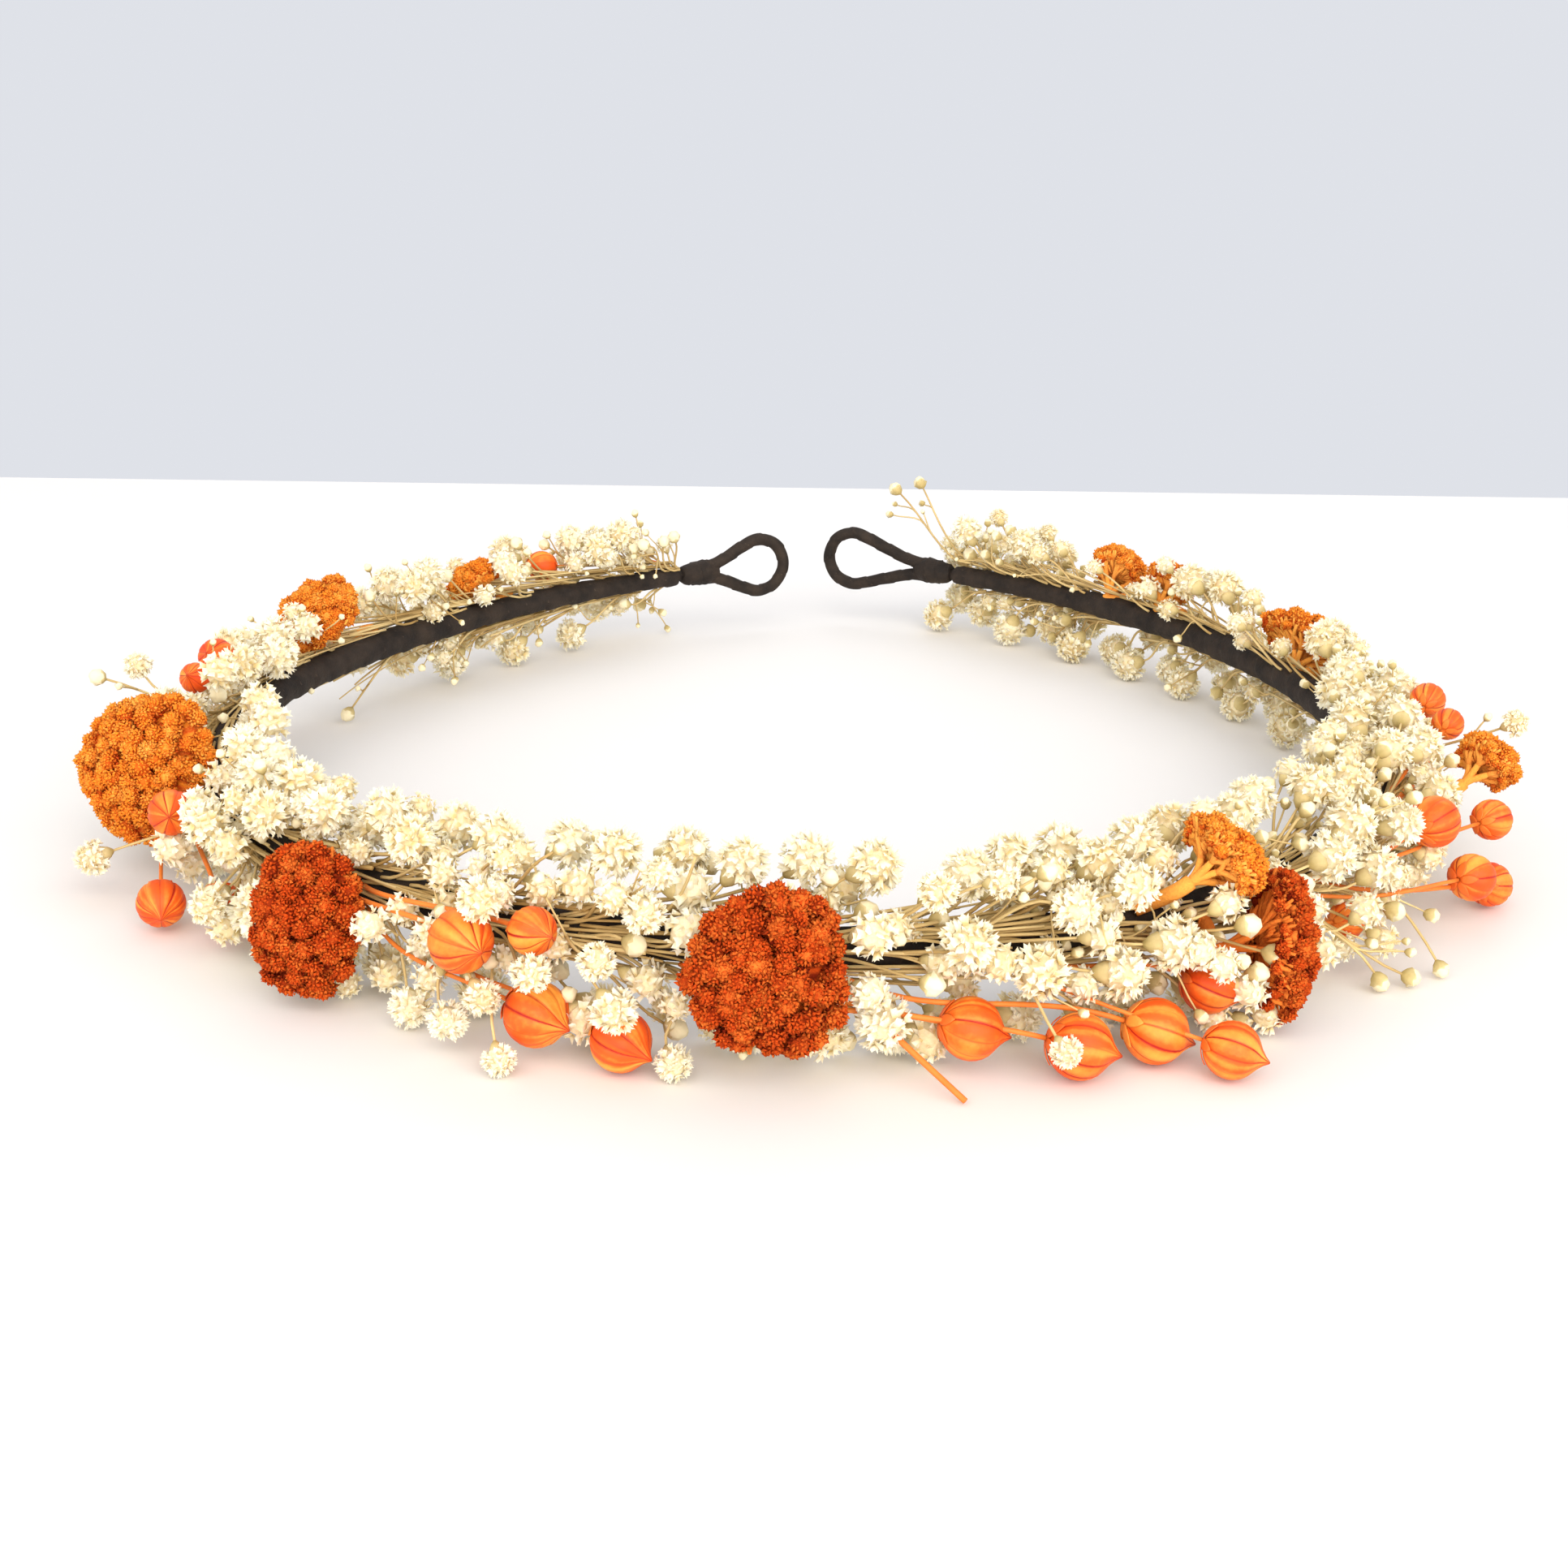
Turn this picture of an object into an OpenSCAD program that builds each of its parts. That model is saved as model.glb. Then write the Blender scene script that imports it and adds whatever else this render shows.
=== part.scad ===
// Dried flower crown: a wire bound in florist's tape and bent to an open ring, each end bent into a
// loop for a ribbon, with dyed yarrow heads, flax seed bolls and gypsophila bound along it.
// It lies on its lowest flowers, front at -Y and +Z up. The origin is the middle of its underside.
// A place is [angle, out, up]: the way the wire faces there, in degrees from the front with 90 at +X,
// then how far out from the wire's centre line and how far up from it.

/* [Ring] */
// Radius of the wire's centre line round the front
front_r = 86; // [82:1:90]
// Angle where the left side straightens
left_turn = 110; // [104:1:116]
// Radius of the straighter left side
left_r = 160; // [150:1:170]
// Angle where the right side straightens
right_turn = 85; // [80:1:90]
// Radius of the straighter right side
right_r = 130; // [122:1:140]
// Angle where the band ends on the left
left_end = 144.5; // [143:0.5:146]
// Angle where the band ends on the right
right_end = 144.5; // [143:0.5:146]
// Height of the wire's centre above the ground
wire_h = 13; // [13:0.1:15]
// Radius of the taped band
band_r = 2.4; // [2.1:0.1:2.6]
// Radius of the band near its two ends
band_slim_r = 1.9; // [1.7:0.1:2]
// Angle round which the band grows slimmer
slim_angle = 131; // [126:1:136]

/* [Ribbon loops] */
// Radius of the taped wire of a loop
loop_wire_r = 1.2; // [1:0.1:1.3]
// Radius of a loop's round end, to the middle of its wire
eye_r = 5.4; // [5:0.1:6]
// Left loop, from its fork to the middle of its round end
left_reach = 12; // [11:0.5:14]
// Right loop, from its fork to the middle of its round end
right_reach = 16.5; // [14:0.5:18]
// Length of the tape collar between the band and the fork
collar_l = 5.5; // [4.5:0.5:7]
// Radius of the tape collar at the fork
collar_r = 2.6; // [2.5:0.1:2.8]
// Length of the collar's tip past the fork
collar_tip = 2; // [1:0.5:3]
// How far each loop turns back in towards the other
loop_turn = 13; // [0:1:15]
// How far each loop rises
loop_rise = 3; // [0:1:8]

/* [Yarrow] */
// Radius of a yarrow stem
yarrow_stem_r = 1.1; // [0.8:0.1:1.3]
// Depth of the lumps on a head, as a share of its radius
lump = 0.06; // [0:0.01:0.08]
// How much of its own uneven outline each head shows, from an oval to all of it
lobe = 1; // [0:0.1:1]

/* [Flax bolls] */
// Radius of a boll's stem
boll_stem_r = 0.5; // [0.4:0.05:0.6]
// Length of the pointed tip, as a share of the boll's radius
boll_tip = 0.35; // [0.2:0.05:0.5]

/* [Gypsophila] */
// Radius of a double flower
flower_r = 3.2; // [2.8:0.1:3.3]
// Radius of a flower's stem
flower_stem_r = 0.35; // [0.3:0.05:0.4]
// Distance of the flowers' middles from the wire
bundle_r = 10; // [9.8:0.1:10.6]
// Distance along the wire between one ring of stems and the next
column_gap = 8; // [7.8:0.1:11]
// How far along the wire a stem leans before its flower
stem_lean = 11; // [9:0.5:13]
// Gap between each stem's foot and the band, and least gap between two flowers
tie_gap = 0.12; // [0.1:0.01:0.2]

/* [Hidden] */
// Middle of the front curve: it brings the middle of the outer box to the origin
ring_at = [-1, -10.5];
full = 360;
half = 180;
left_len = left_turn * front_r * PI / half;
right_len = right_turn * front_r * PI / half;
band_from = -(left_len + (left_end - left_turn) * left_r * PI / half);
band_to = right_len + (right_end - right_turn) * right_r * PI / half;

// Yarrow heads: [angle, out, up, turn to +angle, lift, width, height, depth, stem's angle, outline]
yarrow = [
    [-71.5, 10.1,  2.7,   51,  24, 21.5, 21.5, 9,  -83, 1],
    [ -38, 10.5, -1.2,   22,   8, 16.5, 19.5, 8,  -42, 2],
    [-2.5, 11.5,  1.8,    8,  12,   20,   22, 9,   -6, 3],
    [  36,   11, -2.2,   60,   0,   15,   19, 8,   33, 0],
    [  32,    8,  9.5,   80,  30, 12.5,   11, 6,   27, 1],
    [  76, 15.4,    4,   45,  30,   11,    9, 6,   69, 0],
    [ 105,    6,  4.6,   30,  42,   18, 15.5, 7,  101, 1],
    [ 128,  4.5,    6,   15,  42, 11.5, 13.5, 7,  125, 0],
    [ 122,    4,  6.4,   18,  40,    9,   11, 6,  119, 1],
    [-112.5, 4, 7.6,   64,  52,   19,   16, 7, -117, 0],
    [-127.5, 4, 5.2,   20,  52,   11,   12, 6, -130, 1]
];

// Outlines of the heads, as shares of an oval, every 30 degrees from the side nearer +angle by way of the top
outlines = [
    [0.94, 0.92, 0.99, 1.06, 1.08, 1.01, 0.94, 0.92, 0.99, 1.06, 1.08, 1.01],
    [0.93, 1.04, 1.07, 0.96, 0.93, 1.04, 1.07, 0.96, 0.93, 1.04, 1.07, 0.96],
    [0.92, 1.04, 1.05, 1.00, 0.92, 0.84, 0.77, 0.95, 1.04, 1.00, 1.00, 0.95],
    [0.93, 0.98, 0.98, 0.85, 0.76, 0.82, 0.89, 0.84, 0.84, 0.70, 1.06, 1.04]
];
outline_step = 30;

// Flax bolls: [angle, out, up, stem's angle, width]
bolls = [
    [-23.5,   11,  1.5,   -27,   8],
    [-18.5,  9.5,  3.5,   -24,   6],
    [-18.5,    9,   -7,   -24, 8.2],
    [-12.3,    9,   -9,   -19, 7.6],
    [   12,  8.5,   -7,     4, 7.8],
    [   19, 12.5, -8.7,  10.5, 8.2],
    [   25,   12, -8.7,    15, 8.2],
    [ 30.6,  9.5, -5.8,    30, 7.1],
    [ 28.2,   19, -9.2,    27, 7.2],
    [ 60.5, 10.8,    3,    54, 7.3],
    [   64, 15.5,   -6,    57, 6.8],
    [ 68.5, 17.4, -9.5,    61, 6.5],
    [   70, 16.5,   -1,    63,   6],
    [ 49.5,  6.5, -6.3,    43, 5.2],
    [  -58, 13.2,   -9,   -66, 6.8],
    [  -54,  7.5,   -8,   -60, 6.2],
    [-60.5,  9.8,  1.8,   -66, 6.5],
    [  -95,  5.5,  8.2,  -101, 6.1],
    [  -90,  6.5,    7,   -96,   5],
    [ -134,  5.5,    5,  -138, 6.2],
    [   86,    9,  7.7,    80, 5.6],
    [   82, 10.7,  6.3,    76,   5]
];

// Gypsophila that stands clear of the bundle: [angle, out, up, stem's angle, radius]
sprays = [
    [ -9.7,    8,  11.5,   -18, 1.9],
    [   -7,  7.5,  14.5,   -13,   1],
    [-10.5,    9,     7,   -18, 2.4],
    [-17.2,    6,  12.5,   -26,   1],
    [  -52,   -5,   6.4,   -59, 2.6],
    [  -43,   -4,     5,   -51, 2.6],
    [  -80, -4.7,   3.8,   -87, 2.7],
    [  -66, -3.8,   4.8,   -73, 2.6],
    [ 49.6,   16, -11.4,    41, 1.5],
    [ 52.6, 17.7, -11.6,    53, 1.3],
    [ 47.3, 13.8, -11.4,    39, 1.5],
    [-81.5, 17.5,  11.3,   -91, 1.5],
    [-85.5,   13,    11,   -88, 2.1],
    [  -66,   19,  -6.5,   -63, 2.5],
    [   80, 19.5,     8,    79,   2],
    [  9.3,  8.5,    10,     1, 2.3],
    [ 13.7,  8.8,    11,     5, 2.1],
    [ 23.2, 10.6,   9.2,    15, 2.8],
    [ 18.9,  9.7,     7,    11, 2.8],
    [   17,  8.8,  11.5,     9, 1.4],
    [  151,    2,  15.5,   143, 1.6],
    [  149,    4,    17,   141, 1.6],
    [144.5,    7,     8,   138, 1.9],
    [  141,    4,    12,   135, 1.9],
    [135.5,    3,    11,   132, 1.9],
    [-21.5, 12.3,   7.6,   -29, 2.7],
    [-17.3, 14.5,   0.6,   -25, 2.3],
    [-21.6, 12.3,  -4.3,   -29, 2.2],
    [-24.6, 11.6,  -8.6,   -31, 2.4],
    [-11.8, 14.3,  -2.7,   -18, 2.7],
    [-13.2, 12.8,   2.3,   -20, 2.2],
    [-47.4, 14.1,  -3.4,   -54, 2.3],
    [ 16.7, 17.4,  -6.6,    14, 1.9],
    [-19.9,   14, -10.9,   -27,   2],
    [ -8.5,  9.8, -10.7,    -8, 2.2],
    [-29.6,  7.7, -10.2,   -37, 2.6],
    [   54,    2,    10,    47,   3]
];

// Rows of the bundle round the wire, in degrees from straight out, on even and on odd rings
rows = [[-84, -38, 5, 48, 92], [-62, -16, 28, 70, 112]];
// Places of the bundle left bare: [angle, out, up, radius]
bare = [
    [ -57.5,  5.8,   7.5, 3],
    [   -66,    1,    10, 6],
    [   -78,   -1,    10, 3],
    [ -84.5,  4.5,   9.5, 3],
    [ -83.5, -4.5,   8.8, 3],
    [-102.5,    3,  -9.5, 5],
    [-111.5,  3.5,    -9, 6],
    [-117.5,  3.5,    -9, 6],
    [  -122,    1,  -9.5, 3],
    [-124.5,   -4,     9, 3],
    [  -128,  0.5,  -9.5, 3],
    [-130.5, -4.5,   8.6, 3],
    [-133.5,    0,  -9.8, 3],
    [-133.5,   -1,   9.5, 3],
    [-138.8,    1,  -9.8, 3],
    [    59,  0.5,  10.3, 3],
    [  69.6,    0,   9.8, 3],
    [  93.5, -4.5,     9, 3],
    [   100, -3.5,    10, 3],
    [   121,   -4,   8.6, 3]
];
bunches = 18;
bunch_len = (band_to - band_from) / bunches;
// First and last ring of stems, as distances in from the band's ends
first_ring = 4;
last_ring = 3;

// Profile of a head from its neck to its crown: [share of width, share of depth]
head_profile = [
    [0.14, -0.5], [0.45, -0.38], [0.78, -0.2], [0.97, 0],
    [0.97, 0.18], [0.84, 0.34], [0.6, 0.44], [0.32, 0.5]
];
head_top = 0.52;
head_sides = 28;
// Lumps of a head, out from its middle and along its depth: [waves round it, turn from one ring to the next]
side_lumps = [7, 130];
top_lumps = [5, 100];
// Room kept round a head, as a share of its size, and round its neck, as a share of the stem's radius
head_room = 1.1;
neck_room = 1.4;
neck_tip = 0.1;
// Profile of a double flower from its calyx up: [radius, height] in flower radii
flower_profile = [[0.48, -0.76], [0.95, -0.29], [1, 0.13], [0.79, 0.6], [0.38, 0.86]];
flower_foot = 1.08;
flower_top = 0.92;
boll_steps = [25:25:150];
// Where a boll's side meets its tip: [radius, height] in boll radii
boll_nose = [0.14, 1.1];
// How unsteady the bundle is: turn round the wire, distance from it, flower size and lean
turn_play = 5;
reach_play = 0.5;
size_play = 0.05;
lean_play = 0.1;
ground_room = 1.02;
golden = 137.5;
band_step = 5.2;
band_sides = 12;
slim_fade = 8;
loop_sides = 10;
eye_steps = 9;
// Half of the gap between a loop's two strands in the collar, and where they part, in lengths of the fork
strand_gap = 0.03;
part_at = 0.7;
bow_at = 1.3;
// Radius of the collar's far end, in radii of the loop's wire
collar_end = 1.5;
loop_room = 0.4;
collar_room = 0.5;
// Distances beyond which a flower can't touch another one or a head
far_flower = 50;
far_head = 40;

tape_colour = "#3a2f28";
rust = "#c4511c";
orange = "#e8692a";
cream = "#efe6cc";

// The curve that holds an angle: [radius, angle where it starts]
function arc_at(angle) = angle < -left_turn ? [left_r, -left_turn]
    : angle > right_turn ? [right_r, right_turn] : [front_r, 0];

function arc_centre(arc) = ring_at + (front_r - arc[0]) * [sin(arc[1]), -cos(arc[1])];

// A place [angle, out, up] as a point
function point(place) = let(arc = arc_at(place[0]), c = arc_centre(arc), r = arc[0] + place[1])
    [c.x + r * sin(place[0]), c.y - r * cos(place[0]), wire_h + place[2]];

// The angle at a distance along the wire from the front
function angle_at(s) = s < -left_len ? -left_turn + (s + left_len) / left_r * half / PI
    : s > right_len ? right_turn + (s - right_len) / right_r * half / PI : s / front_r * half / PI;

// The distance along the wire of an angle
function length_at(angle) = angle < -left_turn ? -left_len + (angle + left_turn) * left_r * PI / half
    : angle > right_turn ? right_len + (angle - right_turn) * right_r * PI / half
    : angle * front_r * PI / half;

function unit(v) = v / norm(v);

function share(t) = min(1, max(0, t));

// The band's radius at an angle
function band_radius(angle) = band_slim_r
    + (band_r - band_slim_r) * share((slim_angle + slim_fade - abs(angle)) / (2 * slim_fade));

// A stem's foot: beside the band, on the side where the flower is
function foot(angle, place, stem_r) =
    let(side = unit([place[1], place[2]]), r = band_radius(angle) + tie_gap + stem_r)
    point([angle, side.x * r, side.y * r]);

// A flower on a straight stem: [foot, middle, tip, head radius, stem radius, foot's distance along]
function flower(place, foot_angle, head_r, stem_r, tip) =
    let(from = foot(foot_angle, place, stem_r), middle = point(place))
    [from, middle, middle + tip * unit(middle - from), head_r, stem_r, length_at(foot_angle)];

// Axes of a yarrow head: [across, up, facing]
function head_axes(row) =
    let(a = row[0], out = [sin(a), -cos(a), 0], on = [cos(a), sin(a), 0],
        across = on * cos(row[3]) - out * sin(row[3]),
        facing = (out * cos(row[3]) + on * sin(row[3])) * cos(row[4]) + [0, 0, sin(row[4])])
    [across, cross(facing, across), facing];

// Distance from a point to a segment
function to_segment(p, a, b) = let(d = b - a, t = share((p - a) * d / (d * d))) norm(p - a - t * d);

// Distance between two segments
function between(a, b, c, d) =
    let(u = b - a, v = d - c, w = a - c, spread = (u * u) * (v * v) - (u * v) * (u * v),
        s = spread < 0.001 ? 0 : share(((u * v) * (v * w) - (v * v) * (u * w)) / spread),
        t = share(((u * v) * s + v * w) / (v * v)),
        s2 = share(((u * v) * t - u * w) / (u * u)))
    norm(w + s2 * u - t * v);

// Two flowers stand clear of each other
function clear(a, b) = norm(a[1] - b[1]) > far_flower
    || (norm(a[1] - b[1]) > a[3] + b[3] + tie_gap
        && to_segment(a[1], b[0], b[2]) > a[3] + b[4] + tie_gap
        && to_segment(b[1], a[0], a[2]) > b[3] + a[4] + tie_gap
        && between(a[0], a[2], b[0], b[2]) > a[4] + b[4] + tie_gap);

// A point with a margin round it stands clear of a yarrow head, taken as a thick round slab
function off_head(p, margin, row) =
    let(axes = head_axes(row), v = p - point(row), w = row[5] / 2 * head_room + margin,
        h = row[6] / 2 * head_room + margin, d = row[7] / 2 * head_room + margin)
    pow(pow(v * axes[0] / w, 2) + pow(v * axes[1] / h, 2), 2) + pow(v * axes[2] / d, 4) > 1;

function off_stem(f, row) =
    len([for (t = [0:0.1:1]) if (!off_head(f[0] + t * (f[1] - f[0]), f[4] + tie_gap, row)) t]) == 0;

function off_heads(f) = len([for (row = yarrow) if (norm(f[1] - point(row)) < far_head)
    if (!off_head(f[1], f[3] + tie_gap, row) || !off_stem(f, row)) 1]) == 0;

function has_room(f, others) = off_heads(f) && len([for (o = others) if (!clear(f, o)) 1]) == 0;

// Keeps each flower that has room beside those before it
function with_room(flowers, kept, i = 0) = i == len(flowers) ? kept
    : with_room(flowers, has_room(flowers[i], kept) ? concat(kept, [flowers[i]]) : kept, i + 1);

function off_bare(f) = len([for (place = bare) if (norm(f[1] - point(place)) < place[3]) 1]) == 0;

// An even but unsteady spread from -1 to 1
function wobble(k) = sin(k * golden);

// What stands on the band before the bundle is filled: stems of the heads, bolls and both loops
head_stems = [for (row = yarrow) flower([row[0], row[1], row[2]], row[8], yarrow_stem_r * neck_room,
    yarrow_stem_r, neck_tip)];
boll_flowers = [for (row = bolls) flower([row[0], row[1], row[2]], row[3], row[4] / 2, boll_stem_r,
    row[4] / 2 * (1 + boll_tip))];
loop_flowers = [for (side = [-1, 1])
    let(reach = (side < 0 ? left_reach : right_reach) + collar_l, end = loop_end(side))
    [end[0], end[0] + reach * end[1], end[0] + (reach + eye_r) * end[1], eye_r + loop_wire_r + loop_room,
        collar_r + collar_room, 0]];
spray_flowers = [for (row = sprays) flower([row[0], row[1], row[2]], row[3], row[4], flower_stem_r,
    row[4] * flower_top)];

// The bundle's flowers, in rings round the wire from the left end to the right end
bundle_flowers = [
    for (k = [0:floor((band_to - band_from - first_ring - last_ring) / column_gap)])
    for (j = [0:len(rows[0]) - 1])
    let(i = len(rows[0]) * k + j, s = band_from + first_ring + column_gap * k,
        turn = rows[k % 2][j] + turn_play * wobble(i), r = bundle_r + reach_play * wobble(i + 1),
        head_r = flower_r * (1 + size_play * wobble(i + 2)),
        lean = stem_lean * (1 + lean_play * wobble(i + 3)),
        up = max(r * sin(turn), ground_room * head_r - wire_h),
        f = flower([angle_at(s + lean), r * cos(turn), up], angle_at(s), head_r, flower_stem_r,
            head_r * flower_top))
    if (off_bare(f)) f
];
fixed_flowers = concat(head_stems, boll_flowers, loop_flowers);
placed = with_room(concat(spray_flowers, bundle_flowers), fixed_flowers);
gypsophila = [for (i = [len(fixed_flowers):1:len(placed) - 1]) placed[i]];

// The end of the band on one side: [point, the way the wire leaves it]
function loop_end(side) = let(a = side * (side < 0 ? left_end : right_end))
    [point([a, 0, 0]), side * [cos(a), sin(a), 0]];

// Puts its children's +Z along a line, starting at its first point
module along(from, to) {
    v = to - from;
    translate(from)
        rotate([0, acos(v.z / norm(v)), atan2(v.y, v.x)])
            children();
}

// A closed skin through rings of points, each with the same number of sides
module skin(rings, sides, first, last) {
    count = len(rings) / sides;
    walls = [for (i = [0:count - 2]) for (j = [0:sides - 1])
        let(a = i * sides + j, b = i * sides + (j + 1) % sides)
        each [[a, a + sides, b + sides], [a, b + sides, b]]];
    ends = [for (j = [0:sides - 1]) let(k = (j + 1) % sides, top = (count - 1) * sides)
        each [[len(rings), j, k], [len(rings) + 1, top + k, top + j]]];
    polyhedron(concat(rings, [first, last]), concat(walls, ends));
}

// A round tube along a path that lies in one plane
module tube(path, radii, normal, sides) {
    last = len(path) - 1;
    rings = [for (i = [0:last])
        let(on = unit(path[min(i + 1, last)] - path[max(i - 1, 0)]), side = cross(normal, on))
        for (j = [0:sides - 1]) let(t = full * j / sides)
        path[i] + radii[i] * (side * cos(t) + normal * sin(t))];
    skin(rings, sides, path[0], path[last]);
}

// The wire under its florist's tape, slimmer near the ends
module band() {
    steps = ceil((band_to - band_from) / band_step);
    angles = [for (i = [0:steps]) angle_at(band_from + (band_to - band_from) * i / steps)];
    color(tape_colour)
        tube([for (a = angles) point([a, 0, 0])],
            [for (a = angles) band_radius(a)], [0, 0, 1], band_sides);
}

// A wire end bent into a teardrop eye and bound back on itself by a collar of tape
module ribbon_loop(side) {
    reach = side < 0 ? left_reach : right_reach;
    end = loop_end(side);
    spread = asin(eye_r / reach);
    strand = loop_wire_r + strand_gap;
    fork = strand / tan(spread);
    leg = sqrt(reach * reach - eye_r * eye_r);
    half_path = concat(
        [[-collar_l / 2, 0, strand], [0, 0, strand], [fork * part_at, 0, strand]],
        [for (t = [0:0.125:1]) let(l = fork / cos(spread) * bow_at * (1 - t) + leg * t)
            l * [cos(spread), 0, sin(spread)]],
        [for (t = [1:eye_steps]) let(a = (90 + spread) * (1 - t / eye_steps))
            [reach + eye_r * cos(a), 0, eye_r * sin(a)]]
    );
    last = len(half_path) - 1;
    path = concat(half_path, [for (i = [last - 1:-1:0]) [half_path[i].x, 0, -half_path[i].z]]);
    color(tape_colour)
        translate(end[0] + tie_gap * end[1])
            rotate([0, 0, atan2(end[1].y, end[1].x)])
                union() {
                    rotate([0, 90, 0])
                        cylinder(h = collar_l, r1 = band_slim_r, r2 = collar_r, $fn = 32);
                    translate([collar_l, 0, 0])
                        rotate([0, 90, 0])
                            cylinder(h = collar_tip, r1 = collar_r, r2 = loop_wire_r * collar_end, $fn = 32);
                    translate([collar_l, 0, 0])
                        rotate([0, -loop_rise, side * loop_turn])
                            tube(path, [for (p = path) loop_wire_r], [0, -1, 0], loop_sides);
                }
}

// A yarrow head on its stem: one skin of rings from the foot to the crown, all square to the way it faces
module yarrow_head(row) {
    axes = head_axes(row);
    middle = point(row);
    from_band = unit(point([row[8], row[1], row[2]]) - point([row[8], 0, 0]));
    from = foot(row[8], row, yarrow_stem_r * sqrt(1 - pow(from_band * axes[2], 2)));
    shares = outlines[row[9]];
    around = [for (i = [0:len(shares)]) [outline_step * i, shares[i % len(shares)]]];
    rings = concat(
        [for (j = [0:head_sides - 1]) let(t = full * j / head_sides)
            from + yarrow_stem_r * (axes[0] * cos(t) + axes[1] * sin(t))],
        [for (i = [0:len(head_profile) - 1]) for (j = [0:head_sides - 1])
            let(t = full * j / head_sides, p = head_profile[i], shaped = i < 1 ? 0 : 1,
                lobed = lobe * (lookup(t, around) - 1),
                lumped = lump * cos(side_lumps[0] * t + side_lumps[1] * i),
                r = p[0] * (1 + shaped * (lobed + lumped)),
                z = p[1] + shaped * lump * cos(top_lumps[0] * t + top_lumps[1] * i))
            middle + r * (cos(t) * row[5] / 2 * axes[0] + sin(t) * row[6] / 2 * axes[1])
                + row[7] * z * axes[2]]
    );
    skin(rings, head_sides, from, middle + row[7] * head_top * axes[2]);
}

module yarrow(i) {
    color(i > 1 && i < 5 ? rust : orange)
        yarrow_head(yarrow[i - 1]);
}

// A round seed boll with a pointed tip on a thin straight stem
module flax_boll(i) {
    f = boll_flowers[i - 1];
    r = f[3];
    to_middle = norm(f[1] - f[0]);
    color(orange)
        along(f[0], f[1])
            rotate_extrude($fn = 32)
                polygon(concat(
                    [[0, 0], [boll_stem_r, 0], [boll_stem_r, to_middle - r]],
                    [for (t = boll_steps) [r * sin(t), to_middle - r * cos(t)]],
                    [[r * boll_nose[0], to_middle + r * boll_nose[1]], [0, to_middle + r * (1 + boll_tip)]]
                ));
}

// One double flower with its calyx and stem
module gypsophila_flower(f) {
    r = f[3];
    to_middle = norm(f[1] - f[0]);
    along(f[0], f[1])
        rotate_extrude($fn = 24)
            polygon(concat(
                [[0, 0], [flower_stem_r, 0], [flower_stem_r, to_middle - flower_foot * r]],
                [for (p = flower_profile) [p[0] * r, to_middle + p[1] * r]],
                [[0, to_middle + flower_top * r]]
            ));
}

// The flowers bound on along one stretch of the band
module gypsophila(i) {
    color(cream)
        for (f = gypsophila)
            if (min(bunches, 1 + floor((f[5] - band_from) / bunch_len)) == i)
                gypsophila_flower(f);
}

band();
ribbon_loop(-1);  // ribbon_loop_left
ribbon_loop(1);  // ribbon_loop_right
for (i = [1:len(yarrow)]) yarrow(i);
for (i = [1:len(bolls)]) flax_boll(i);
for (i = [1:bunches]) gypsophila(i);
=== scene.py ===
import bpy
import math
import numpy as np
from mathutils import Matrix, Vector


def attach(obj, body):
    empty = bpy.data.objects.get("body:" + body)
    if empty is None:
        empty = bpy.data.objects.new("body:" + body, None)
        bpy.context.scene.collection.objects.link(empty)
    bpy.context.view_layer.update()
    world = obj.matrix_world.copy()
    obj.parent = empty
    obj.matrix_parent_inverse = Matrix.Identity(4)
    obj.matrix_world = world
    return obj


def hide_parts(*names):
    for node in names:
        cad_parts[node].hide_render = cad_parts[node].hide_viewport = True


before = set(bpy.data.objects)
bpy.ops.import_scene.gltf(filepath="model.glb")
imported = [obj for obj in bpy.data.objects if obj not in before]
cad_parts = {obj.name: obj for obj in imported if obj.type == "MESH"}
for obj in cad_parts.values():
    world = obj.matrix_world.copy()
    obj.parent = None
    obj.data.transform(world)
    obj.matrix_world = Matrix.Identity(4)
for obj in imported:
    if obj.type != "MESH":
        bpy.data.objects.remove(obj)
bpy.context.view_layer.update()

# Dried flower crown: yarrow, flax bolls and gypsophila bound along a taped wire ring with two ribbon loops.
# Lengths are in millimetres, and a mesh is scaled to metres when it is made.

golden = math.radians(137.508)
metre = 0.001


def addObject(name, data):
    obj = bpy.data.objects.new(name, data)
    bpy.context.scene.collection.objects.link(obj)
    return obj


# Camera.
# The focal length and the frame are in pixels of the image, and the angles in degrees.
camera = {"focal": 2600.0, "frame": 1932.0, "sensor": 36.0, "elevation": 18.52, "roll": 0.76, "distance": 300.9,
          "target": (-2.98, -37.02, 13.0)}


def addCamera(c):
    # the lens looks down at the target and is rolled a little round its own axis
    el, roll = math.radians(c["elevation"]), math.radians(c["roll"])
    back = Vector((0, -math.cos(el), math.sin(el)))
    right = Vector((1, 0, 0))
    up = back.cross(right)
    right2 = right * math.cos(roll) + up * math.sin(roll)
    up2 = up * math.cos(roll) - right * math.sin(roll)
    data = bpy.data.cameras.new("camera")
    data.sensor_width = c["sensor"]
    data.lens = c["focal"] / c["frame"] * c["sensor"]
    data.clip_start = 0.01
    obj = addObject("camera", data)
    where = (Vector(c["target"]) + back * c["distance"]) * metre
    obj.matrix_world = Matrix.Translation(where) @ Matrix((right2, up2, back)).transposed().to_4x4()
    bpy.context.scene.camera = obj


addCamera(camera)
print("camera placed")


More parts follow.
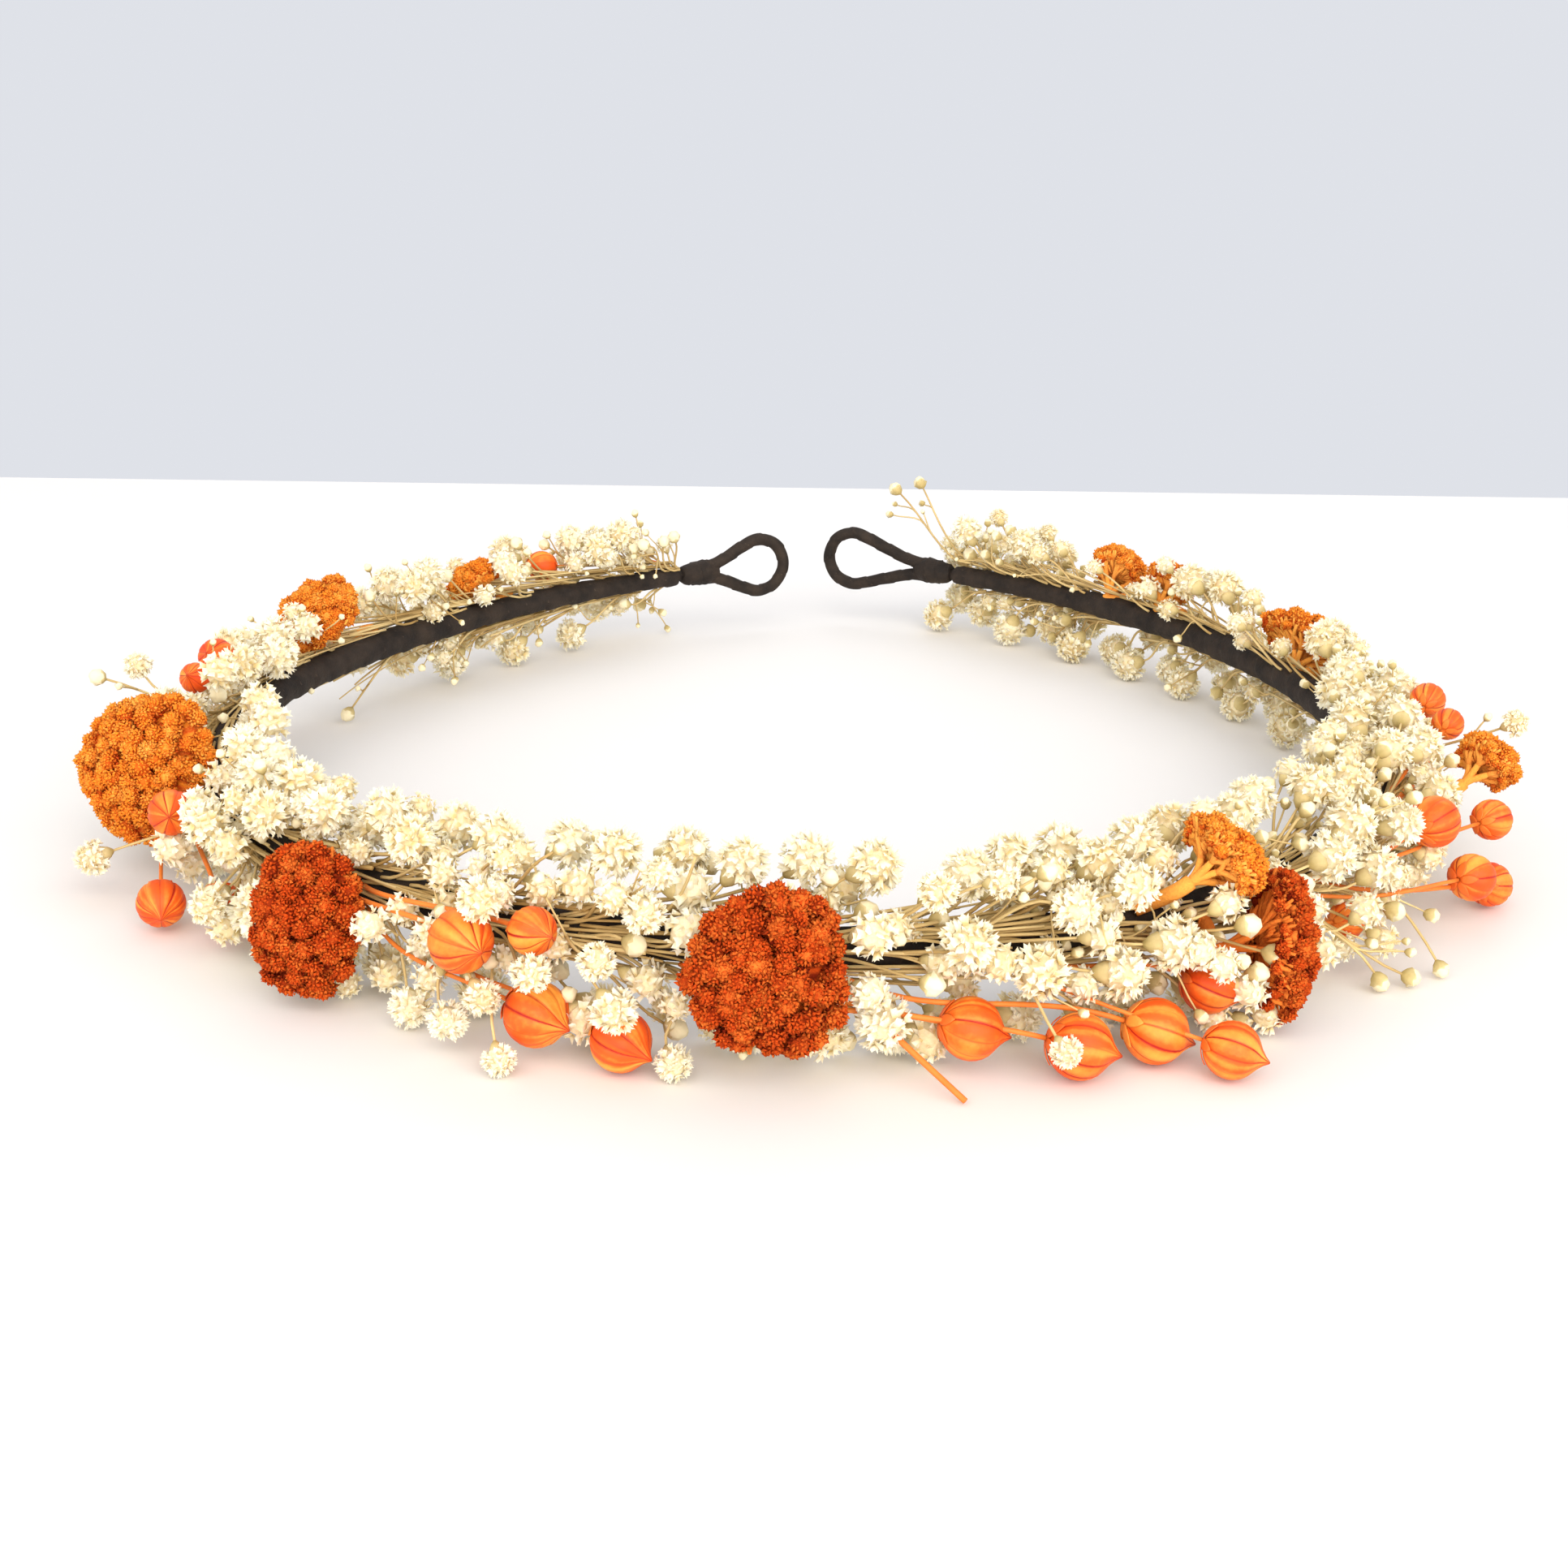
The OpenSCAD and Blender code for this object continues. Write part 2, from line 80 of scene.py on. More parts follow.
# The ring's line, a front arc between two flatter ones, and the band's two radii.
ring = {"frontR": 86.0, "leftTurn": 110.0, "leftR": 160.0, "rightTurn": 85.0, "rightR": 130.0, "end": 144.5,
        "height": 13.0, "centreX": -1.0, "centreY": -10.5, "bandR": 2.4, "slimR": 1.9, "slimAngle": 131.0,
        "slimFade": 8.0}
frontR, leftTurn, rightTurn = ring["frontR"], ring["leftTurn"], ring["rightTurn"]
leftLen = math.radians(leftTurn) * frontR
rightLen = math.radians(rightTurn) * frontR
bandFrom = -leftLen - math.radians(ring["end"] - leftTurn) * ring["leftR"]
bandTo = rightLen + math.radians(ring["end"] - rightTurn) * ring["rightR"]


def place(angle, out, up):
    # the point at a heading, out from the wire and up from it
    angle, out, up = np.broadcast_arrays(np.asarray(angle, float), out, up)
    left, right = angle < -leftTurn, angle > rightTurn
    r = np.where(left, ring["leftR"], np.where(right, ring["rightR"], frontR))
    start = np.radians(np.where(left, -leftTurn, np.where(right, rightTurn, 0.0)))
    a = np.radians(angle)
    x = ring["centreX"] + (frontR - r) * np.sin(start) + (r + out) * np.sin(a)
    y = ring["centreY"] - (frontR - r) * np.cos(start) - (r + out) * np.cos(a)
    return np.stack([x, y, ring["height"] + up], axis=-1)


def angleAt(s):
    # the heading at a distance along the wire from the front
    s = np.asarray(s, float)
    left = -leftTurn + np.degrees((s + leftLen) / ring["leftR"])
    right = rightTurn + np.degrees((s - rightLen) / ring["rightR"])
    return np.where(s < -leftLen, left, np.where(s > rightLen, right, np.degrees(s / frontR)))


def lengthAt(point):
    # the distance along the wire of the place nearest to a point
    s = np.arange(bandFrom, bandTo, 0.5)
    return s[np.linalg.norm(place(angleAt(s), 0, 0) - point, axis=1).argmin()]


def bandRadius(angle):
    fade = np.clip((ring["slimAngle"] + ring["slimFade"] - np.abs(angle)) / (2 * ring["slimFade"]), 0, 1)
    return ring["slimR"] + (ring["bandR"] - ring["slimR"]) * fade


# Small tools for arrays and meshes.
def unit(v):
    return v / np.maximum(np.linalg.norm(v, axis=-1, keepdims=True), 1e-9)


def circle(count):
    # angles spread evenly round a circle
    return np.linspace(0, 2 * math.pi, count, endpoint=False)


def turned(r, t, z):
    # rings round the Z axis: radius and height over the angles
    return np.stack([r * np.cos(t), r * np.sin(t), z + 0 * t], -1)


def basis(axis):
    # two directions square to each axis
    axis = unit(np.asarray(axis, float))
    ref = np.where(np.abs(axis[..., 2:3]) < 0.8, np.array([0.0, 0.0, 1.0]), np.array([1.0, 0.0, 0.0]))
    across = unit(np.cross(ref, axis))
    return across, np.cross(axis, across), axis


def ripple(x, y, seed, waves=7, scale=1.0):
    # smooth noise from -1 to 1: sine waves that run in random directions
    rng = np.random.default_rng(seed)
    total = 0
    for _ in range(waves):
        fx, fy, phase = rng.normal(0, scale, 2).tolist() + [rng.uniform(0, 2 * math.pi)]
        total = total + np.sin(fx * x + fy * y + phase)
    return total / waves * 1.4


markNames = ("tone", "along", "part")


class Pile:
    # gathers many small shapes and makes one mesh of them
    total = 0

    def __init__(self):
        self.points, self.faces, self.marks, self.count = [], [], {mark: [] for mark in markNames}, 0

    def add(self, points, faces, tone=0.5, along=0.0, part=0.0):
        points = np.asarray(points, float).reshape(-1, 3)
        self.points.append(points)
        self.faces.append(np.asarray(faces, int).reshape(-1, 3) + self.count)
        for mark, value in zip(markNames, (tone, along, part)):
            self.marks[mark].append(np.broadcast_to(np.ravel(value).astype(float), len(points)))
        self.count += len(points)

    def addTubes(self, paths, radii, sides, tone, shade=1.0, part=0.0):
        # the tone is one number for all the tubes, or one for each
        points, faces, along, each = tubes(paths, radii, sides)
        self.add(points, faces, np.repeat(tone, each) if np.ndim(tone) else tone, along * shade, part)

    def addCopies(self, shapes, where, axes, sizes, spins, tones, shade=1.0):
        # the places take the shapes in turn
        for v, shape in enumerate(shapes):
            pick = slice(v, None, len(shapes))
            used = len(tones[pick])
            points, faces, along, part, each = scatter(shape, where[pick], axes[pick], sizes[pick], spins[:used])
            dim = np.repeat(shade[pick], each) if np.ndim(shade) else shade
            self.add(points, faces, np.repeat(tones[pick], each), along * dim, part)
            spins = spins[used:]

    def build(self, name, material, node, slot, smooth=True):
        # what would reach below the ground is pressed flat on it
        points = np.concatenate(self.points)
        points[:, 2] = np.maximum(points[:, 2], 0.02)
        points = points * metre
        faces = np.concatenate(self.faces)
        Pile.total += len(faces)
        mesh = bpy.data.meshes.new(name)
        mesh.vertices.add(len(points))
        mesh.vertices.foreach_set("co", points.astype(np.float32).ravel())
        mesh.loops.add(faces.size)
        mesh.loops.foreach_set("vertex_index", faces.astype(np.int32).ravel())
        mesh.polygons.add(len(faces))
        mesh.polygons.foreach_set("loop_start", np.arange(0, faces.size, 3, dtype=np.int32))
        mesh.polygons.foreach_set("use_smooth", np.full(len(faces), smooth))
        mesh.update(calc_edges=True)
        for mark, values in self.marks.items():
            layer = mesh.attributes.new(mark, "FLOAT", "POINT")
            layer.data.foreach_set("value", np.concatenate(values).astype(np.float32))
        mesh.materials.append(material)
        obj = addObject(name, mesh)
        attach(obj, "root")
        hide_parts(node)


def gridFaces(rows, cols):
    # two triangles for each cell of a grid whose columns run round and meet
    i, j = np.meshgrid(np.arange(rows - 1), np.arange(cols), indexing="ij")
    a, b = i * cols + j, i * cols + (j + 1) % cols
    c, d = a + cols, b + cols
    return np.concatenate([np.stack([a, b, d], -1).reshape(-1, 3), np.stack([a, d, c], -1).reshape(-1, 3)])


def closedSkin(rings):
    # rings of points with a pole added at each end
    rows, cols = rings.shape[:2]
    j = np.arange(cols)
    k = (j + 1) % cols
    top = (rows - 1) * cols
    low = np.stack([np.full(cols, rows * cols), k, j], -1)
    high = np.stack([np.full(cols, rows * cols + 1), top + j, top + k], -1)
    points = np.concatenate([rings.reshape(-1, 3), rings[:1].mean(axis=1), rings[-1:].mean(axis=1)])
    return points, np.concatenate([gridFaces(rows, cols), low, high])


def poled(values, low, high):
    # the values of a skin's rings, then those of its two poles
    return np.append(values, [low, high])


def copyFaces(faces, size, count):
    # the triangles of many copies of a shape with so many points
    return (faces[None] + size * np.arange(count)[:, None, None]).reshape(-1, 3)


def tubes(paths, radii, sides):
    # many tubes at once: a circle is carried along each path and turned as little as possible
    paths = np.asarray(paths, float)
    count, steps = paths.shape[:2]
    radii = np.broadcast_to(np.asarray(radii, float), (count, steps))
    paths = np.concatenate([paths[..., :2], np.maximum(paths[..., 2:], radii[..., None] + 0.05)], axis=-1)
    on = unit(np.gradient(paths, axis=1))
    side = [basis(on[:, 0])[0]]
    for k in range(1, steps):
        side.append(unit(side[-1] - (side[-1] * on[:, k]).sum(-1, keepdims=True) * on[:, k]))
    side = np.stack(side, axis=1)
    other = np.cross(on, side)
    t = circle(sides)
    wheel = side[:, :, None] * np.cos(t)[:, None] + other[:, :, None] * np.sin(t)[:, None]
    rings = paths[:, :, None] + radii[:, :, None, None] * wheel
    points, faces = closedSkin(rings[0])
    size = len(points)
    body = rings.reshape(count, steps * sides, 3)
    ends = np.stack([paths[:, 0], paths[:, -1]], axis=1)
    allPoints = np.concatenate([body, ends], axis=1).reshape(-1, 3)
    along = poled(np.repeat(np.linspace(0, 1, steps), sides), 0, 1)
    return allPoints, copyFaces(faces, size, count), np.tile(along, count), size


def scatter(shape, where, axes, sizes, spins, squash=1.0):
    # copies a template to many places: its +Z turns to each axis, then it spins and scales
    points, faces, along, part = shape
    across, up, axis = basis(axes)
    c, s = np.cos(spins)[:, None], np.sin(spins)[:, None]
    x, y = across * c + up * s, up * c - across * s
    sizes = np.asarray(sizes, float).reshape(-1, 1, 1)
    p = points[None]
    moved = p[..., 0:1] * x[:, None] + p[..., 1:2] * y[:, None] + p[..., 2:3] * squash * axis[:, None]
    moved = moved * sizes + np.asarray(where)[:, None]
    count, size = moved.shape[:2]
    return moved.reshape(-1, 3), copyFaces(faces, size, count), np.tile(along, count), np.tile(part, count), size


def curves(starts, ends, startWays, endWays, steps, arm=0.36):
    # smooth stems: each leaves its start one way and meets its end another way
    starts, ends = np.asarray(starts, float), np.asarray(ends, float)
    span = arm * np.linalg.norm(ends - starts, axis=-1, keepdims=True)
    near, far = starts + span * startWays, ends - span * endWays
    t = np.linspace(0, 1, steps)[None, :, None]
    p0, p1, p2, p3 = (p[:, None] for p in (starts, near, far, ends))
    return p0 * (1 - t) ** 3 + 3 * p1 * t * (1 - t) ** 2 + 3 * p2 * t * t * (1 - t) + p3 * t ** 3


def wireWay(angle):
    # the way the wire runs at a heading, to the right as seen from outside
    a = np.radians(np.asarray(angle, float))
    return np.stack([np.cos(a), np.sin(a), 0 * a], axis=-1)


# Materials.
class Sock:
    # wraps a node's socket so that sums and products in Python add its Math nodes
    def __init__(self, paint, socket):
        self.paint, self.socket = paint, socket

    def math(self, operation, a, b):
        return self.paint.add("ShaderNodeMath", {"operation": operation}, {0: a, 1: b})

    def __add__(self, other):
        return self.math("ADD", self, other)

    def __mul__(self, other):
        return self.math("MULTIPLY", self, other)

    def __sub__(self, other):
        return self.math("SUBTRACT", self, other)

    def __rsub__(self, other):
        return self.math("SUBTRACT", other, self)

    __radd__, __rmul__ = __add__, __mul__


class Paint:
    # one material: a Principled shader and the nodes that feed it
    def __init__(self, name, roughness, specular, more={}):
        self.material = bpy.data.materials.new(name)
        self.material.use_nodes = True
        self.tree = self.material.node_tree
        self.shader = self.tree.nodes["Principled BSDF"]
        for key, value in {"Roughness": roughness, "Specular IOR Level": specular, **more}.items():
            self.shader.inputs[key].default_value = value

    def put(self, socket, value):
        if isinstance(value, Sock):
            self.tree.links.new(value.socket, socket)
        elif isinstance(value, (tuple, list)) and len(value) == 3 and socket.type == "RGBA":
            socket.default_value = (*value, 1)
        else:
            socket.default_value = value

    def add(self, kind, settings, values, output=0):
        # any node: its settings come first, then the values or links of its sockets
        node = self.tree.nodes.new(kind)
        for key, value in settings.items():
            setattr(node, key, value)
        for key, value in values.items():
            self.put(node.inputs[key], value)
        return Sock(self, node.outputs[output])

    def mark(self, name):
        return self.add("ShaderNodeAttribute", {"attribute_name": name}, {}, "Fac")

    def where(self):
        return self.add("ShaderNodeTexCoord", {}, {}, "Object")

    def noise(self, scale, detail=3.0):
        values = {"Vector": self.where(), "Scale": scale, "Detail": detail, "Roughness": 0.55}
        return self.add("ShaderNodeTexNoise", {}, values)

    def mix(self, factor, a, b):
        return self.add("ShaderNodeMix", {"data_type": "RGBA"}, {0: factor, 6: a, 7: b}, 2)

    def blend(self, value, low, high, a, b):
        # goes from one colour to another as the value goes from low to high
        return self.mix(self.step(value, low, high), a, b)

    def step(self, value, low, high):
        # rises from 0 to 1 as the value goes from low to high
        values = {"Value": value, "From Min": low, "From Max": high}
        return self.add("ShaderNodeMapRange", {"clamp": True}, values)

    def bump(self, height, strength, distance):
        return self.add("ShaderNodeBump", {}, {"Height": height, "Strength": strength, "Distance": distance})

    def finish(self, colour, bump=None, roughness=None):
        for key, value in {"Base Color": colour, "Normal": bump, "Roughness": roughness}.items():
            if value:
                self.put(self.shader.inputs[key], value)
        return self.material


def tapeMaterial():
    # crepe tape: fine wrinkles on dark brown, paler where one turn's edge laps the next
    p = Paint("florist tape", roughness=0.82, specular=0.25)
    fine, broad = p.noise(2600.0, 4.0), p.noise(240.0)
    colour = p.blend(broad, 0.35, 0.7, (0.014, 0.010, 0.008), (0.040, 0.027, 0.019))
    colour = p.blend(p.mark("along") * 0.7 + fine * 0.5, 0.72, 1.05, colour, (0.095, 0.066, 0.045))
    return p.finish(colour, p.bump(fine, 0.5, 0.00025), p.step(fine, 0.0, 1.0) * 0.25 + 0.62)


def yarrowMaterial(name, creviceShade, body, light, under):
    # florets: painted shade in the gaps and low on each cluster, lighter towards the tips, each floret a little
    # different; pale fibres below
    p = Paint(name, roughness=0.9, specular=0.08)
    fine, broad = p.noise(3200.0), p.noise(220.0)
    tone, along, part = map(p.mark, markNames)
    # painted shade: the lower a floret sits on its cluster, the nearer its colour comes to the shade colour
    colour = p.blend(along + (tone - 0.5) * 0.4, 0.05, 0.7, creviceShade, body)
    colour = p.blend(tone * 0.55 + fine * 0.6 + broad * 0.7, 0.88, 1.3, colour, light)
    fibres = p.blend(fine + along * 0.4, 0.35, 0.95, under, light)
    colour = p.blend(part, 0.3, 0.7, colour, fibres)
    return p.finish(colour, p.bump(fine, 0.6, 0.0003))


def bollMaterial():
    # dyed seed case: long streaks from orange to amber, dark red lines on the seams, and a red-brown tip
    p = Paint("flax boll", roughness=0.55, specular=0.25, more={"Coat Weight": 0.05})
    fine, broad = p.noise(1500.0), p.noise(170.0)
    tone, along, part = map(p.mark, markNames)
    colour = p.blend(broad * 0.6 + tone * 0.5, 0.3, 0.75, (0.72, 0.055, 0.006), (0.92, 0.17, 0.015))
    colour = p.blend(tone * 0.6 + fine * 0.2 + broad * 0.5, 0.62, 0.95, colour, (0.98, 0.40, 0.06))
    seam = along + (broad - 0.5) * 0.7 + (fine - 0.5) * 0.3
    colour = p.blend(seam, 0.35, 0.9, colour, (0.40, 0.012, 0.004))
    colour = p.blend(part, 0.3, 0.7, colour, p.mix(broad, (0.70, 0.13, 0.018), (0.92, 0.30, 0.05)))
    return p.finish(colour, p.bump(fine + along * -1.0, 0.35, 0.0002), p.step(fine, 0.0, 1.0) * 0.2 + 0.42)


def petalMaterial():
    # thin dried petals: straw at the throat as painted shade between the petals, cream to near white at the edge
    p = Paint("gypsophila petals", roughness=0.85, specular=0.15, more={
        "Subsurface Weight": 0.35, "Subsurface Radius": (0.0012, 0.0009, 0.0005), "Subsurface Scale": 0.6})
    fine = p.noise(2200.0)
    tone, along = p.mark("tone"), p.mark("along")
    # painted shade: the foot of each petal is straw, deep between the petals
    colour = p.blend(along, 0.2, 0.85, (0.70, 0.50, 0.21), (0.93, 0.83, 0.54))
    colour = p.blend(tone * 0.6 + fine * 0.6 + along * 0.4, 0.55, 1.1, colour, (0.97, 0.92, 0.73))
    colour = p.mix(p.step(tone, 0.86, 1.0) * 0.6, colour, (0.78, 0.61, 0.29))
    return p.finish(colour, p.bump(fine, 0.3, 0.0002))


def stemMaterial():
    # dry stems and calyxes: straw to tan, with fine streaks; buds olive below and cream at the tip
    p = Paint("gypsophila stems", roughness=0.75, specular=0.2)
    fine, broad = p.noise(1700.0), p.noise(160.0)
    tone, along, part = map(p.mark, markNames)
    colour = p.blend(broad + tone * 0.5, 0.4, 1.0, (0.42, 0.26, 0.085), (0.74, 0.56, 0.26))
    husk = p.blend(along + fine * 0.4, 0.2, 0.95, (0.44, 0.33, 0.12), (0.70, 0.57, 0.29))
    husk = p.blend(along, 1.0, 1.2, husk, (0.90, 0.80, 0.54))
    colour = p.blend(part, 0.3, 0.7, colour, husk)
    return p.finish(colour, p.bump(fine, 0.4, 0.00015))


tapePaint = tapeMaterial()
rustPaint = yarrowMaterial("yarrow rust", (0.16, 0.011, 0.002), (0.58, 0.068, 0.007), (0.80, 0.20, 0.030),
                           (0.74, 0.21, 0.035))
orangePaint = yarrowMaterial("yarrow orange", (0.54, 0.07, 0.008), (0.91, 0.27, 0.024), (0.96, 0.43, 0.075),
                             (0.86, 0.30, 0.06))
bollPaint = bollMaterial()
petalPaint = petalMaterial()
stemPaint = stemMaterial()
print("materials made")


# Band and ribbon loops.
# The first three values are windings: pitch, lap, lumps and sides.
tape = {"band": (5.6, 0.26, 0.14, 28), "loop": (4.2, 0.16, 0.07, 24), "collar": (2.6, 0.2, 0.12, 32), "step": 0.7,
        "loopWire": 1.2, "strandGap": 0.03, "eyeR": 5.4, "leftReach": 12.0, "rightReach": 16.5, "collarLen": 5.5,
        "collarR": 2.6, "collarTip": 2.8, "loopTurn": 13.0, "loopRise": 3.0, "tieGap": 0.12}


def tapedRod(path, radius, normal, winding, seed):
    # a rod wound with tape: the radius falls by one lap over each turn of the helix and has low lumps
    pitch, lap, lumps, sides = winding
    on = unit(np.gradient(path, axis=0))
    side = unit(np.cross(normal, on))
    up = np.cross(on, side)
    run = np.append(0, np.cumsum(np.linalg.norm(np.diff(path, axis=0), axis=1)))
    t = circle(sides)
    turn = (run[:, None] / pitch + 0.15 * np.sin(run[:, None] / 7.3) - t / (2 * math.pi)) % 1.0
    edge = np.clip((turn - 0.86) / 0.12, 0, 1) * np.clip((1 - turn) / 0.02, 0, 1)
    relief = lap * (turn - 0.5) + lumps * ripple(run[:, None] * 0.35, 2 * np.cos(t), seed)
    relief = relief + lumps * 0.5 * ripple(run[:, None] * 1.3, 3 * np.sin(t), seed + 1)
    r = radius[:, None] + relief
    rings = path[:, None] + r[..., None] * (side[:, None] * np.cos(t)[:, None] + up[:, None] * np.sin(t)[:, None])
    return *closedSkin(rings), poled(edge, 0, 0)


def makeBand():
    s = np.arange(bandFrom, bandTo + tape["step"] / 2, tape["step"])
    angle = angleAt(s)
    taper = np.clip(np.minimum(s - bandFrom, bandTo - s) / 1.2, 0.55, 1)
    pile = Pile()
    points, faces, edge = tapedRod(place(angle, 0, 0), bandRadius(angle) * taper, (0, 0, 1), tape["band"], 11)
    pile.add(points, faces, along=edge)
    pile.build("tapedBand", tapePaint, "band", "florist_tape")


def loopFrame(side):
    # the wire's end point, its heading, and the turn that puts the loop's own axes there
    a = math.radians(side * ring["end"])
    end = place(side * ring["end"], 0, 0)
    heading = math.atan2(side * math.sin(a), side * math.cos(a))
    inner = Matrix.Rotation(math.radians(side * tape["loopTurn"]), 3, "Z") @ \
        Matrix.Rotation(math.radians(-tape["loopRise"]), 3, "Y")
    return end, np.array(Matrix.Rotation(heading, 3, "Z")), np.array(inner)


def makeLoop(side, name, node):
    # a teardrop: two strands leave the collar, run straight out and meet round a circle
    reach, eyeR = tape["leftReach"] if side < 0 else tape["rightReach"], tape["eyeR"]
    collar, wire = tape["collarLen"], tape["loopWire"]
    total = collar + tape["collarTip"]
    end, turn, inner = loopFrame(side)
    spread = math.asin(eyeR / reach)
    strand = wire + tape["strandGap"]
    leg = math.sqrt(reach * reach - eyeR * eyeR)
    t = np.linspace(0, 1, 12)
    fork = strand / math.tan(spread)
    out = (fork / math.cos(spread) * 1.3) * (1 - t) + leg * t
    arc = (math.pi / 2 + spread) * (1 - np.linspace(0, 1, 16)[1:])
    x = np.concatenate([[-collar / 2, 0, fork * 0.7], out * math.cos(spread), reach + eyeR * np.cos(arc)])
    z = np.concatenate([[strand, strand, strand], out * math.sin(spread), eyeR * np.sin(arc)])
    x, z = np.append(x, x[-2::-1]), np.append(z, -z[-2::-1])
    run = np.append(0, np.cumsum(np.hypot(np.diff(x), np.diff(z))))
    even = np.linspace(0, run[-1], int(run[-1] / 0.4))
    path = np.stack([np.interp(even, run, x), 0 * even, np.interp(even, run, z)], -1)
    for _ in range(6):
        path[1:-1] = path[1:-1] * 0.5 + (path[:-2] + path[2:]) * 0.25
    path = path @ inner.T + [collar, 0, 0]
    pile = Pile()
    points, faces, edge = tapedRod(path, np.full(len(path), wire), -inner[:, 1], tape["loop"], 21 + side)
    base = end + tape["tieGap"] * turn[:, 0]
    pile.add(points @ turn.T + base, faces, along=edge)
    # the collar swells from the band to the fork, then closes on the two strands
    x = np.linspace(0, 1, 44) * total
    r = np.interp(x, [0, 0.8, collar, total], [ring["slimR"] * 0.8, ring["slimR"] + 0.1, tape["collarR"], wire * 1.35])
    sway = np.clip(x / collar - 0.6, 0, 1) ** 2 * math.tan(math.radians(side * tape["loopTurn"])) * 1.6
    path = np.stack([x, sway, 0 * x], -1)
    points, faces, edge = tapedRod(path, r, (0, 0, 1), tape["collar"], 31 + side)
    pile.add(points @ turn.T + base, faces, along=edge)
    pile.build(name, tapePaint, node, "florist_tape")


makeBand()
makeLoop(-1, "ribbonLoopLeft", "ribbon_loop_left")
makeLoop(1, "ribbonLoopRight", "ribbon_loop_right")
print("band and loops wound")


# Where the frame's stems and heads are.
def islands(node):
    # the separate solids of a node: a point takes the lowest label of the triangles it is in, until none changes
    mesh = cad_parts[node].data
    mesh.calc_loop_triangles()
    co, tris = np.empty(len(mesh.vertices) * 3), np.empty(len(mesh.loop_triangles) * 3, np.int32)
    mesh.vertices.foreach_get("co", co)
    mesh.loop_triangles.foreach_get("vertices", tris)
    points, index = np.unique((co.reshape(-1, 3) / metre).round(3), axis=0, return_inverse=True)
    tris = index.ravel()[tris].reshape(-1, 3)
    label = np.arange(len(points))
    while True:
        new = label.copy()
        low = label[tris].min(axis=1)
        np.minimum.at(new, tris, low[:, None])
        new = new[new]
        if (new == label).all():
            return [points[label == k] for k in np.unique(label)]
        label = new


def readStem(points, top):
    # a head on a straight stem: foot, middle, axis and radius, where the thin end is the foot
    centre = points.mean(axis=0)
    axis = np.linalg.svd(points - centre, full_matrices=False)[2][0]
    t = (points - centre) @ axis
    wide = np.linalg.norm(points - centre - t[:, None] * axis, axis=1)
    if t[wide > 0.6 * wide.max()].mean() < 0:
        axis, t = -axis, -t
    foot = points[t < t.min() + 0.05].mean(axis=0)
    tip = points[t.argmax()]
    axis = unit(tip - foot)
    off = points - foot
    r = np.linalg.norm(off - (off @ axis)[:, None] * axis, axis=1).max()
    return foot, tip - axis * r * top, axis, r


def nodesOf(kind):
    return sorted([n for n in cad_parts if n.startswith(kind)], key=lambda n: int(n.split("_")[-1]))


yarrowNodes, bollNodes, bunchNodes = nodesOf("yarrow_"), nodesOf("flax_boll_"), nodesOf("gypsophila_")
bolls = [readStem(islands(n)[0], 1.35) for n in bollNodes]
bunches = [[readStem(p, 0.92) for p in islands(n)] for n in bunchNodes]
print("frame read:", len(yarrowNodes), "yarrow heads,", len(bolls), "bolls,", sum(map(len, bunches)), "flowers")


# Yarrow heads.
# angle, out, up, turn, lift, width, height, depth, stem's angle and outline of each head
yarrowRows = [
    (-71.5, 10.1, 2.7, 51, 24, 21.5, 21.5, 9, -83, 1), (-38, 10.5, -1.2, 22, 8, 16.5, 19.5, 8, -42, 2),
    (-2.5, 11.5, 1.8, 8, 12, 20, 22, 9, -6, 3), (36, 11, -2.2, 60, 0, 15, 19, 8, 33, 0),
    (32, 8, 9.5, 80, 30, 12.5, 11, 6, 27, 1), (76, 15.4, 4, 45, 30, 11, 9, 6, 69, 0),
    (105, 6, 4.6, 30, 42, 18, 15.5, 7, 101, 1), (128, 4.5, 6, 15, 42, 11.5, 13.5, 7, 125, 0),
    (122, 4, 6.4, 18, 40, 9, 11, 6, 119, 1), (-112.5, 4, 7.6, 64, 52, 19, 16, 7, -117, 0),
    (-127.5, 4, 5.2, 20, 52, 11, 12, 6, -130, 1)]
# outlines of the heads: shares of an oval every 30 degrees
outlines = [(0.94, 0.92, 0.99, 1.06, 1.08, 1.01) * 2,
            (0.93, 1.04, 1.07, 0.96) * 3,
            (0.92, 1.04, 1.05, 1.00, 0.92, 0.84, 0.77, 0.95, 1.04, 1.00, 1.00, 0.95),
            (0.93, 0.98, 0.98, 0.85, 0.76, 0.82, 0.89, 0.84, 0.84, 0.70, 1.06, 1.04)]
yarrowLook = {"rust": (1, 2, 3), "spacing": 2.95, "cluster": 1.5, "grain": 0.255, "grains": 60, "reach": 1.1,
              "around": 96, "ribs": 32, "ribDepth": 0.1, "stem": 0.95, "neck": 0.85, "forks": 6, "stalks": 3,
              "fibres": 160, "fibreR": (0.14, 0.24, 0.2)}


def headFrame(row):
    # a head's middle, and the ways across it, up it and out of its crown
    turn, lift = np.radians(row[3]), np.radians(row[4])
    on = wireWay(row[0])
    out = np.array([on[1], -on[0], 0])
    across = on * np.cos(turn) - out * np.sin(turn)
    facing = (out * np.cos(turn) + on * np.sin(turn)) * np.cos(lift) + np.array([0, 0, np.sin(lift)])
    return place(*row[:3]), across, np.cross(facing, across), facing


def blob(rows, cols, bumps, seed):
    # a ball of radius 1 whose surface is pushed in and out by smooth noise
    v = np.linspace(0.16, math.pi - 0.16, rows)[:, None]
    p = turned(np.sin(v), circle(cols), -np.cos(v))
    r = 1 + bumps * ripple(p[..., 0] * 2.2 + p[..., 2] * 3.1, p[..., 1] * 2.7 - p[..., 2] * 1.7, seed)
    points, faces = closedSkin(p * r[..., None])
    return points, faces, np.clip(points[:, 2] * 0.5 + 0.5, 0, 1), np.zeros(len(points))


